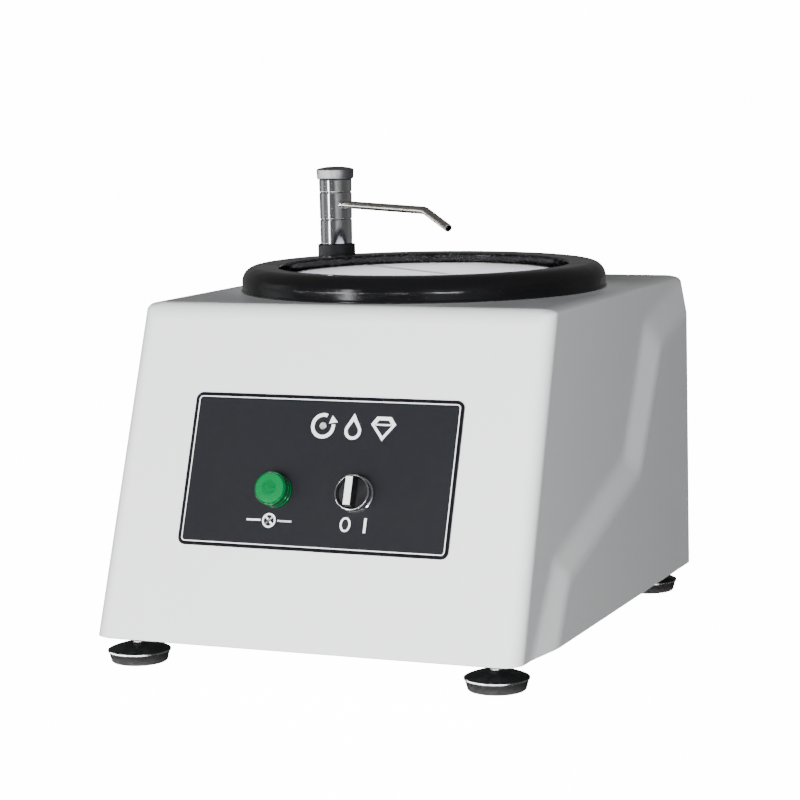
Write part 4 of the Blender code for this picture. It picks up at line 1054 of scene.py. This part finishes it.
hoop_profile = [(HOOP_RADIUS, HOOP_LOW), (HOOP_RADIUS, HOOP_LOW + 0.0012),
                (HOOP_RADIUS - 0.0005, HOOP_LOW + 0.0018), (HOOP_RADIUS - 0.0005, HOOP_HIGH - 0.0018),
                (HOOP_RADIUS, HOOP_HIGH - 0.0012), (HOOP_RADIUS, HOOP_HIGH),
                (HOOP_RADIUS - HOOP_WALL, HOOP_HIGH), (HOOP_RADIUS - HOOP_WALL, HOOP_LOW)]
turned("cloth_hoop", hoop_profile, 160, (0.0004, 3, 30), AT_DISC, 35, "stainless", "clamp_ring")

# %% [markdown]
# ## Faucet
# A black sleeve stands on the deck. On it stands a slender chrome column in three parts with
# bright chamfers between them: the fixed body, the collar that turns with the spout, and the
# bonnet. A satin cap works the valve. The column narrows a little towards its foot. The spout is a
# thin steel tube, bent down near its end, cut square and open.

# %% Column
PIN_RADIUS = 0.0065
SHANK_RADIUS = 0.0080
SLEEVE_TOP = 0.029
JOINT_LOW = 0.0523
JOINT_HIGH = 0.0777
BONNET_TOP = 0.0897
COLUMN_HIGH_RADIUS = 0.0154
COLUMN_LOW_RADIUS = 0.0149
CHAMFER = 0.0008
FOOT_CHAMFER = 0.0004
PIN_REACH = 0.006             # of the body's pin into the bonnet
SHANK_STEP, SHANK_NECK = -0.030, -0.032
SHANK_END, SHANK_END_RADIUS = -0.045, 0.0055
SLEEVE_RADIUS = 0.0175
STEM_BORE = 0.0033


def column_radius(height):
    share = (height - SLEEVE_TOP) / (BONNET_TOP - SLEEVE_TOP)
    return COLUMN_LOW_RADIUS + (COLUMN_HIGH_RADIUS - COLUMN_LOW_RADIUS) * share


turned("faucet_sleeve", band(SLEEVE_RADIUS, SHANK_RADIUS + SEAT, SEAT, SLEEVE_TOP), 64, (0.0007, 3, 28),
       AT_FAUCET, 35, "matt_black", "faucet_pedestal")

body_low, body_high = SLEEVE_TOP + SEAT, JOINT_LOW - SEAT
body_profile = [(0, JOINT_HIGH + PIN_REACH), (PIN_RADIUS, JOINT_HIGH + PIN_REACH), (PIN_RADIUS, body_high),
                (column_radius(body_high) - CHAMFER, body_high),
                (column_radius(body_high), body_high - CHAMFER),
                (column_radius(body_low), body_low + FOOT_CHAMFER),
                (column_radius(body_low) - FOOT_CHAMFER, body_low), (SHANK_RADIUS, body_low),
                (SHANK_RADIUS, SHANK_STEP), (SHANK_END_RADIUS, SHANK_NECK),
                (SHANK_END_RADIUS, SHANK_END), (0, SHANK_END)]
turned("faucet_column", body_profile, 96, (0.0002, 2, 20), AT_FAUCET, 30, "chrome", "faucet_body",
       closed=False)

collar_low, collar_high = JOINT_LOW, JOINT_HIGH - SEAT
bore = PIN_RADIUS + SEAT
collar_profile = [(column_radius(collar_high) - CHAMFER, collar_high),
                  (column_radius(collar_high), collar_high - CHAMFER),
                  (column_radius(collar_low), collar_low + CHAMFER),
                  (column_radius(collar_low) - CHAMFER, collar_low), (bore, collar_low),
                  (bore, collar_high)]
collar = lathe("faucet_collar", collar_profile, 96, closed=True)
soften(collar, 0.0002, 2, 20)
carry(collar, AT_FAUCET)

# %% Bonnet and cap
bonnet_profile = [(column_radius(BONNET_TOP) - 0.0003, BONNET_TOP - SEAT),
                  (column_radius(BONNET_TOP), BONNET_TOP - 0.0008),
                  (column_radius(JOINT_HIGH), JOINT_HIGH + CHAMFER),
                  (column_radius(JOINT_HIGH) - CHAMFER, JOINT_HIGH), (bore, JOINT_HIGH),
                  (bore, JOINT_HIGH + 0.0063), (STEM_BORE, JOINT_HIGH + 0.0063), (STEM_BORE, BONNET_TOP - SEAT)]
turned("faucet_bonnet_turned", bonnet_profile, 96, (0.0002, 2, 20), AT_FAUCET, 30, "chrome",
       "faucet_bonnet")

CAP_TOP = heights_of("cap_knob")[1]
CAP_RADIUS = radius_of("cap_knob")
cap_profile = [(0, CAP_TOP), (0.008, CAP_TOP - 0.0003), (0.0135, CAP_TOP - 0.0011),
               *arc((CAP_RADIUS - 0.0012, CAP_TOP - 0.0032), 0.0012, 70, 0, 4),
               (CAP_RADIUS - 0.0004, BONNET_TOP + 0.0010), (CAP_RADIUS - 0.0014, BONNET_TOP),
               (STEM_BORE, BONNET_TOP), (STEM_BORE, BONNET_TOP + 0.0068), (0, BONNET_TOP + 0.0068)]
turned("faucet_cap", cap_profile, 96, (0.0002, 2, 25), AT_FAUCET, 40, "satin_grey", "cap_knob",
       closed=False)

# %% Spout
SPOUT_HEIGHT = 0.0665
SPOUT_RADIUS = 0.0035
SPOUT_WALL = 0.0008
SPOUT_START = 0.0098
SPOUT_REACH = 0.167
SPOUT_TIP = (0.2075, 0.0526)
BEND_RADIUS = 0.016
BEND_STEPS = 10

last_run = Vector((SPOUT_TIP[0] - SPOUT_REACH, 0, SPOUT_TIP[1] - SPOUT_HEIGHT))
bend = math.atan2(-last_run.z, last_run.x)
setback = BEND_RADIUS * math.tan(bend / 2)
bpy.ops.object.select_all(action="DESELECT")
bpy.ops.mesh.primitive_circle_add(vertices=40, radius=SPOUT_RADIUS, location=(SPOUT_START, 0, SPOUT_HEIGHT),
                                  rotation=(0, math.pi / 2, 0))
spout = bpy.context.object
spout.name = "spout_tube"
bpy.ops.object.transform_apply(location=True, rotation=True, scale=True)
start_editing(spout)
bpy.ops.mesh.select_all(action="SELECT")
first_run = Vector((SPOUT_REACH - setback - SPOUT_START, 0, 0))
bpy.ops.mesh.extrude_region_move(TRANSFORM_OT_translate={"value": first_run})
bpy.ops.mesh.spin(steps=BEND_STEPS, angle=bend, axis=(0, -1, 0),
                  center=(SPOUT_REACH - setback, 0, SPOUT_HEIGHT - BEND_RADIUS))
last_run *= 1 - setback / last_run.length
bpy.ops.mesh.extrude_region_move(TRANSFORM_OT_translate={"value": last_run})
tidy_mesh()
stop_editing()
apply_modifier(spout, "SOLIDIFY", thickness=SPOUT_WALL, offset=-1.0)
soften(spout, 0.00015, 2, 50)
shade(carry(spout, AT_SPOUT), 40)
finish_piece(spout, "stainless", "spout")

# %% Socket for the spout, and its ferrule
socket = lathe("cutter", plug(SPOUT_RADIUS + SEAT, 0.0090, 0.03), 40)
LYING = Matrix.Rotation(math.pi / 2, 4, "Y")
AT_SPOUT_ROOT = AT_SPOUT @ Matrix.Translation((0, 0, SPOUT_HEIGHT)) @ LYING
carry(socket, AT_SPOUT_ROOT)
cut(collar, socket)
shade(collar, 30)
finish_piece(collar, "chrome", "swivel_collar")

FERRULE_RADIUS = 0.0049
ferrule_profile = [(SPOUT_RADIUS + 0.0001, 0.0146), (FERRULE_RADIUS, 0.0146), (FERRULE_RADIUS, 0.0166),
                   (FERRULE_RADIUS - 0.0006, 0.0176), (SPOUT_RADIUS + 0.0001, 0.0180)]
turned("spout_ferrule", ferrule_profile, 40, (0.0002, 2, 30), AT_SPOUT_ROOT, 35, "chrome", body="spout_arm")

# %% [markdown]
# ## Feet
# Each foot is a rubber pad under a domed black cap, whose threaded stud screws into the base plate
# and is held by a nut. Only the cap's rim is bare metal, worn bright where it meets the pad. The
# thread is a stack of rings, which looks the same as a helix at this size and stays light.

# %% One foot
PAD_TOP = 0.0085
PAD_RADIUS = 0.0252
PAD_LOW_RADIUS = 0.0230
CAP_EDGE = 0.0260
STUD_RADIUS = 0.0050
STUD_TOP = 0.0620
THREAD_LOW = 0.0165
THREAD_PITCH = 0.0015
THREAD_DEPTH = 0.0006
NUT_CORNER = 0.0098
NUT_HEIGHT = 0.0048


def thread(bottom, top):
    """A stack of V rings, from the top down."""
    points = []
    count = int((top - bottom) / THREAD_PITCH)
    for i in range(count):
        height = top - i * THREAD_PITCH
        points += [(STUD_RADIUS - THREAD_DEPTH, height), (STUD_RADIUS, height - THREAD_PITCH / 2)]
    return points


def make_foot(name):
    centre = middle(f"foot_{name}_pad")
    place = Matrix.Translation((centre.x, centre.y, 0))
    pad_profile = [(0, PAD_TOP - 0.002), (0.0200, PAD_TOP - 0.002), (0.0200, PAD_TOP),
                   (PAD_RADIUS, PAD_TOP), (PAD_RADIUS - 0.0004, PAD_TOP - 0.0016),
                   (PAD_LOW_RADIUS + 0.0002, 0.0008), (PAD_LOW_RADIUS - 0.0008, 0.0), (0.0165, 0.0),
                   (0.0150, 0.0008), (0, 0.0008)]
    turned(f"pad_{name}", pad_profile, 72, (0.0003, 2, 30), place, 35, "rubber", f"foot_{name}_pad",
           closed=False)

    rim_low = PAD_TOP + SEAT
    stud_profile = [(0, STUD_TOP), (STUD_RADIUS - THREAD_DEPTH, STUD_TOP),
                    *thread(THREAD_LOW, STUD_TOP - 0.0005), (STUD_RADIUS, 0.0158), (0.0100, 0.0151),
                    (0.0160, 0.0139), (0.0205, 0.0124), (0.0240, 0.0110), (CAP_EDGE, 0.0100),
                    (CAP_EDGE, rim_low), (0.0195, rim_low), (0.0195, PAD_TOP - 0.0017),
                    (0, PAD_TOP - 0.0017)]
    stud = lathe(f"stud_{name}", stud_profile, 72)
    shade(carry(stud, place), 25)
    finish_piece(stud, "black_enamel", f"foot_{name}_stud", extra=("bright_rim", "steel"))
    for face in stud.data.polygons:
        if face.center.z > THREAD_LOW - 0.0005:
            face.material_index = 2
        elif rim_low + 0.0001 < face.center.z < 0.0100 and abs(face.normal.z) < 0.3:
            face.material_index = 1


def make_nut(name, node, corner, bore, height, place):
    """A hexagon nut whose corners are turned off, top and bottom."""
    bpy.ops.object.select_all(action="DESELECT")
    bpy.ops.mesh.primitive_cylinder_add(vertices=6, radius=corner, depth=height,
                                        location=(0, 0, height / 2))
    nut = bpy.context.object
    nut.name = name
    bpy.ops.object.transform_apply(location=True, rotation=True, scale=True)
    flat = corner * math.cos(math.pi / 6)
    drop = (corner - flat) * 0.6
    barrel = [(0, height + 0.0001), (flat, height + 0.0001), (corner + 0.0002, height - drop),
              (corner + 0.0002, drop), (flat, -0.0001), (0, -0.0001)]
    cut(nut, lathe("cutter", barrel, 48), "INTERSECT")
    cut(nut, lathe("cutter", plug(bore, -0.01, height + 0.01), 32))
    shade(carry(nut, place), 20)
    slot = "brass" if node == "faucet_nut" else "steel"
    finish_piece(nut, slot, node)


for corner in ("front_left", "front_right", "rear_left", "rear_right"):
    make_foot(corner)
    node = f"foot_{corner}_locknut"
    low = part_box(node)[0]
    centre = middle(node)
    make_nut(f"nut_{corner}", node, NUT_CORNER, STUD_RADIUS + 0.0009, NUT_HEIGHT,
             Matrix.Translation((centre.x, centre.y, low.z)))

# %% [markdown]
# ## Panel
# The panel is a thin plate with small round corners. Two insets of its face give a black margin
# and a fine white line inside it. The signs are raised print. What the real panel says in words is
# replaced by plain signs of the same size and place: a turning ring, a drop of water and a cut
# stone for the machine, the symbol of a lamp, and the marks for off and on.

# %% Plate with its margin and line
PANEL_WIDTH = 2 * radius_of("panel_plate")
PANEL_HEIGHT = 0.127
PANEL_CORNER = 0.0062
MARGIN = 0.0029
LINE_WIDTH = 0.0009

plate = box("panel_face", (PANEL_WIDTH, PANEL_HEIGHT, PANEL_PLATE),
            (0, 0, PANEL_BACK_GAP + PANEL_PLATE / 2))
start_editing(plate)
select_edges(plate, lambda a, b: (a - b).xy.length < MERGE)
bpy.ops.mesh.bevel(offset=PANEL_CORNER, segments=8, affect="EDGES")
select_faces(plate, lambda centre, normal: normal.z > 0.9)
bpy.ops.mesh.inset(thickness=MARGIN)
bpy.ops.mesh.inset(thickness=LINE_WIDTH)
stop_editing()

for hole_x in (-CONTROL_X, CONTROL_X):
    cut(plate, cutter(CONTROL_HOLE, Matrix.Translation((hole_x, CONTROL_DROP, 0))))
carry(plate, AT_PANEL)
finish_piece(plate, "panel_black", "panel_plate", extra=("panel_edge", "white_mark"))
inverse = AT_PANEL.inverted()
for face in plate.data.polygons:
    centre = inverse @ face.center
    outward = (inverse.to_3x3() @ face.normal).z > 0.9
    edge_reach = max(abs(centre.x) - PANEL_WIDTH / 2, abs(centre.y) - PANEL_HEIGHT / 2)
    corner_reach = Vector((max(abs(centre.x) - PANEL_WIDTH / 2 + PANEL_CORNER, 0),
                           max(abs(centre.y) - PANEL_HEIGHT / 2 + PANEL_CORNER, 0))).length - PANEL_CORNER
    reach = max(edge_reach, corner_reach)
    if not outward or -MARGIN < reach:
        face.material_index = 1
    elif reach > -MARGIN - LINE_WIDTH:
        face.material_index = 2

# %% Kit for raised print
PRINT_THICKNESS = 0.00012
PRINT_Z = PANEL_BACK_GAP + PANEL_PLATE


def circle_points(x, y, radius, count=48, start=0.0, end=360.0):
    steps = count if end - start < 360 else count - 1
    span = end - start if end - start < 360 else 360 * (count - 1) / count
    angles = [math.radians(start + span * i / steps) for i in range(steps + 1)]
    return [(x + radius * math.cos(a), y + radius * math.sin(a)) for a in angles]


def flat(points):
    return [Vector((x, y, PRINT_Z)) for x, y in points]


def draw_band(piece, outer, inner, closed=True):
    """Faces between two outlines with the same number of points."""
    count = len(outer)
    for i in range(count if closed else count - 1):
        j = (i + 1) % count
        draw_face(piece, flat([outer[i], outer[j], inner[j], inner[i]]))


def bar(x0, y0, x1, y1, width):
    """Corners of a straight stroke."""
    along = Vector((x1 - x0, y1 - y0)).normalized() * width / 2
    across = Vector((-along.y, along.x))
    start, end = Vector((x0, y0)), Vector((x1, y1))
    return [tuple(start + across), tuple(start - across), tuple(end - across), tuple(end + across)]


def finish_print(piece):
    tidy_mesh()
    stop_editing()
    face_up(piece)
    apply_modifier(piece, "SOLIDIFY", thickness=PRINT_THICKNESS, offset=1.0)
    carry(piece, AT_PANEL)
    finish_piece(piece, "white_mark", body="housing")


# %% Signs for the machine
TITLE_Y = 0.0390
SIGN_HALF = 0.0105
STROKE = 0.0030
TITLE_X = (-0.0015, 0.0250, 0.0510)

turning = start_drawing("sign_turning")
ring_x = TITLE_X[0]
draw_band(turning, circle_points(ring_x, TITLE_Y, SIGN_HALF, 40, 70, 370),
          circle_points(ring_x, TITLE_Y, SIGN_HALF - STROKE, 40, 70, 370), closed=False)
head = SIGN_HALF - STROKE / 2
ARROW = ((-0.0040, 0.0021), (0.0036, 0.0034), (-0.0016, 0.0088))
draw_face(turning, flat([(ring_x + head + x, TITLE_Y + y) for x, y in ARROW]))
draw_face(turning, flat(circle_points(ring_x, TITLE_Y, 0.0030, 24)))
finish_print(turning)

drop_x = TITLE_X[1]
DROP_RADIUS = 0.0072
drop_low = TITLE_Y - SIGN_HALF + DROP_RADIUS


def drop_outline(radius, tip):
    return [(drop_x, tip)] + circle_points(drop_x, drop_low, radius, 30, 145, 395)


drop = start_drawing("sign_water")
draw_band(drop, drop_outline(DROP_RADIUS, TITLE_Y + SIGN_HALF + 0.0008),
          drop_outline(DROP_RADIUS - 0.0026, TITLE_Y + 0.0050))
finish_print(drop)

stone_x = TITLE_X[2]
STONE = ((-0.0108, 0.0030), (-0.0062, 0.0092), (0.0062, 0.0092), (0.0108, 0.0030), (0.0, -0.0105))
stone = start_drawing("sign_stone")
outer = [(stone_x + x, TITLE_Y + y) for x, y in STONE]
inner = [(stone_x + x * 0.68, TITLE_Y + 0.0006 + (y - 0.0006) * 0.66) for x, y in STONE]
draw_band(stone, outer, inner)
draw_face(stone, flat(bar(stone_x - 0.0064, TITLE_Y + 0.0026, stone_x + 0.0064, TITLE_Y + 0.0026, 0.0014)))
finish_print(stone)

# %% Signs for the lamp and the switch
LABEL_Y = -0.0402
LAMP_RING = 0.0060
LABEL_STROKE = 0.0016
CROSS = 0.0030

lamp_sign = start_drawing("sign_lamp")
lamp_x = -0.0387
draw_band(lamp_sign, circle_points(lamp_x, LABEL_Y, LAMP_RING, 36),
          circle_points(lamp_x, LABEL_Y, LAMP_RING - LABEL_STROKE, 36))
strokes = [(-CROSS, -CROSS, CROSS, CROSS)]
for sign in (-1, 1):
    strokes += [(sign * 0.0008, -sign * 0.0008, sign * CROSS, -sign * CROSS)]
    strokes += [(sign * 0.0074, 0, sign * 0.0198, 0)]
for x0, y0, x1, y1 in strokes:
    draw_face(lamp_sign, flat(bar(lamp_x + x0, LABEL_Y + y0, lamp_x + x1, LABEL_Y + y1, LABEL_STROKE)))
finish_print(lamp_sign)

off_x, on_x = 0.0282, 0.0452
off_mark = start_drawing("sign_off")
OFF_OUTSIDE, OFF_INSIDE = 0.78, 0.66      # width of the nought as a share of its height
outer = circle_points(off_x, LABEL_Y, LAMP_RING, 36)
inner = circle_points(off_x, LABEL_Y, LAMP_RING - LABEL_STROKE, 36)
draw_band(off_mark, [(off_x + OFF_OUTSIDE * (x - off_x), y) for x, y in outer],
          [(off_x + OFF_INSIDE * (x - off_x), y) for x, y in inner])
finish_print(off_mark)
on_mark = start_drawing("sign_on")
draw_face(on_mark, flat(bar(on_x, LABEL_Y - LAMP_RING, on_x, LABEL_Y + LAMP_RING, 0.0022)))
finish_print(on_mark)

# %% [markdown]
# ## Lamp and switch
# The lamp is a bright lens set in a glossy green collar with two grooves. The switch is a chrome
# bezel in two rings round a dark well, and in it a black handle with a white face. The handle
# turns, the bezel stays.

# %% Lamp
LAMP_FOOT = PANEL_BACK_GAP + PANEL_PLATE + SEAT
LENS_RADIUS = 0.0125
LENS_TOP = 0.0166
COLLAR_LAMP = 0.0142

collar_profile = [(COLLAR_LAMP, LAMP_FOOT), (COLLAR_LAMP, LAMP_FOOT + 0.0022),
                  (COLLAR_LAMP - 0.0006, LAMP_FOOT + 0.0026), (COLLAR_LAMP - 0.0006, LAMP_FOOT + 0.0034),
                  (COLLAR_LAMP - 0.0001, LAMP_FOOT + 0.0038), (COLLAR_LAMP - 0.0002, 0.0090),
                  (COLLAR_LAMP - 0.0007, 0.0093), (COLLAR_LAMP - 0.0007, 0.0098),
                  (COLLAR_LAMP - 0.0003, 0.0101), (COLLAR_LAMP - 0.0005, 0.0143),
                  (COLLAR_LAMP - 0.0010, 0.0150), (LENS_RADIUS + SEAT, 0.0150),
                  (LENS_RADIUS + SEAT, LAMP_FOOT)]
turned("lamp_ring", collar_profile, 80, (0.0002, 2, 25), AT_LAMP, 40, "green_collar", "lamp_collar")

lens_profile = [(0, LENS_TOP), (0.0060, LENS_TOP - 0.0001), (0.0100, LENS_TOP - 0.0003),
                *arc((LENS_RADIUS - 0.0012, LENS_TOP - 0.0017), 0.0012, 80, 0, 5), (LENS_RADIUS, 0.0060),
                (0, 0.0060)]
lens = lathe("lamp_window", lens_profile, 80)
shade(carry(lens, AT_LAMP), 40)
finish_piece(lens, "green_lens", "lamp_lens")

# %% Switch bezel
BEZEL_RADIUS = 0.0150
BEZEL_BORE = 0.0128

bezel_profile = [(BEZEL_BORE, LAMP_FOOT), (BEZEL_RADIUS, LAMP_FOOT), (BEZEL_RADIUS, LAMP_FOOT + 0.0024),
                 (BEZEL_RADIUS - 0.0011, LAMP_FOOT + 0.0030), (BEZEL_RADIUS - 0.0012, LAMP_FOOT + 0.0040),
                 (0.0142, LAMP_FOOT + 0.0046), (0.0143, 0.0118), (0.0147, 0.0124),
                 *arc((0.0138, 0.0130), 0.0009, 0, 90, 4), (0.0134, 0.0139), (BEZEL_BORE, 0.0130)]
turned("switch_bezel", bezel_profile, 80, (0.0002, 2, 25), AT_SELECTOR, 35, "chrome", "selector_bezel")

# %% Switch handle
HANDLE_WIDTH = 0.0066
HANDLE_LENGTH = 0.0240
HANDLE_TOP = 0.0205
GRIP_LOW = 0.0090
GRIP_TAPER = 0.94             # width of the grip's top as a share of its foot
WELL_LOW, WELL_FLOOR = 0.0060, 0.0105
MARKER_THICKNESS = 0.0006
WELL_RADIUS = BEZEL_BORE - 0.0004

handle = lathe("switch_handle", plug(WELL_RADIUS, WELL_LOW, WELL_FLOOR), 72)
grip = box("grip", (HANDLE_WIDTH, HANDLE_LENGTH, HANDLE_TOP - GRIP_LOW),
           (0, 0, (HANDLE_TOP + GRIP_LOW) / 2))
start_editing(grip)
select_faces(grip, lambda centre, normal: normal.z > 0.9)
bpy.ops.transform.resize(value=(GRIP_TAPER, 1.0, 1.0))
stop_editing()
cut(handle, grip, "UNION")
soften(handle, 0.0004, 3, 40)
shade(carry(handle, AT_SELECTOR), 40)
finish_piece(handle, "matt_black", "selector_handle")

marker = box("switch_marker", (HANDLE_WIDTH - 0.0008, HANDLE_LENGTH - 0.0012, MARKER_THICKNESS),
             (0, 0, HANDLE_TOP + SEAT + MARKER_THICKNESS / 2))
soften(marker, 0.0002, 2, 40)
shade(carry(marker, AT_SELECTOR), 40)
finish_piece(marker, "white_mark", "selector_marker")

# %% [markdown]
# ## Fittings at the rear
# Water comes in through a small brass hose tail and leaves through a wider plastic one. The
# supply cable would pass through a gland with a domed nut. Hose tails have barbs, which are saw
# teeth in the profile, and a hexagon for the spanner.

# %% Hose tails and gland
BARB_COUNT = 4
TAIL_INSIDE = 0.022           # how far a hose tail reaches in past the wall
GLAND_INSIDE = 0.010


def barbs(radius, depth, bottom, top):
    """Saw teeth from the top down, each wide at its lower side."""
    step = (top - bottom) / BARB_COUNT
    points = []
    for i in range(BARB_COUNT):
        high = top - i * step
        points += [(radius - depth, high), (radius, high - step * 0.85)]
    return points


def make_fitting(name, node, slot, flange, flange_height, tail, depth, bore, top, neck):
    """A flanged hose tail on the rear wall, with its inner end inside the housing."""
    inward = -WALL - TAIL_INSIDE
    profile = [*barbs(tail, depth, flange_height + 0.001, top), (tail - depth, flange_height),
               (flange, flange_height), (flange, SEAT), (neck, SEAT), (neck, inward), (bore, inward),
               (bore, top)]
    turned(name, profile, 56, (0.0002, 2, 35), at_rear(node), 35, slot, node)


make_fitting("drain_tail", "drain_outlet", "matt_black", 0.0150, 0.0040, 0.0095, 0.0008, 0.0060, 0.0180,
             0.0092)
make_fitting("inlet_tail", "water_inlet", "brass", 0.0110, 0.0050, 0.0058, 0.0007, 0.0028, 0.0165, 0.0067)

gland_profile = [*arc((0.0080, 0.0115), 0.0045, 80, 0, 6), (0.0125, 0.0110), (0.0125, SEAT),
                 (0.0077, SEAT), (0.0077, -WALL - GLAND_INSIDE), (0.0042, -WALL - GLAND_INSIDE),
                 (0.0042, 0.0159)]
turned("gland_nut", gland_profile, 56, (0.0003, 2, 35), at_rear("cable_gland"), 35, "matt_black",
       "cable_gland")

# %% [markdown]
# ## Hidden parts
# The motor, bearings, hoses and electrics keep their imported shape, because the housing covers
# them. They still get real finishes, for they show when the disc is lifted out or from below.

# %% Finishes for the parts that stay as they are
SLOT_OF = {
    "steel": ("base_plate", "motor_plate", "motor_post_1", "motor_post_2", "motor_post_3", "motor_rotor",
              "bearing_upper", "bearing_lower", "spindle"),
    "motor_enamel": ("motor_flange", "motor_housing", "motor_end_cap"),
    "copper": ("motor_stator",),
    "rubber": ("shaft_seal",),
    "brass": ("taper_hub", "valve_stem", "faucet_nut"),
    "hose": ("drain_hose", "water_hose"),
    "aluminium": ("start_capacitor",),
    "white_mark": ("terminal_block",),
    "matt_black": ("lamp_body", "lamp_nut", "selector_body", "selector_nut"),
}

for slot, nodes in SLOT_OF.items():
    for name in nodes:
        solid = frame["nodes"][name]
        solid.data.materials.clear()
        solid.data.materials.append(FINISH[slot])
plain = [n for n, o in frame["nodes"].items() if not o.hide_render and n not in sum(SLOT_OF.values(), ())]
print("solids still plain:", plain)

# %% Measure the box round everything visible
low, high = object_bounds()
print("visual box", [round(v, 4) for v in high - low])
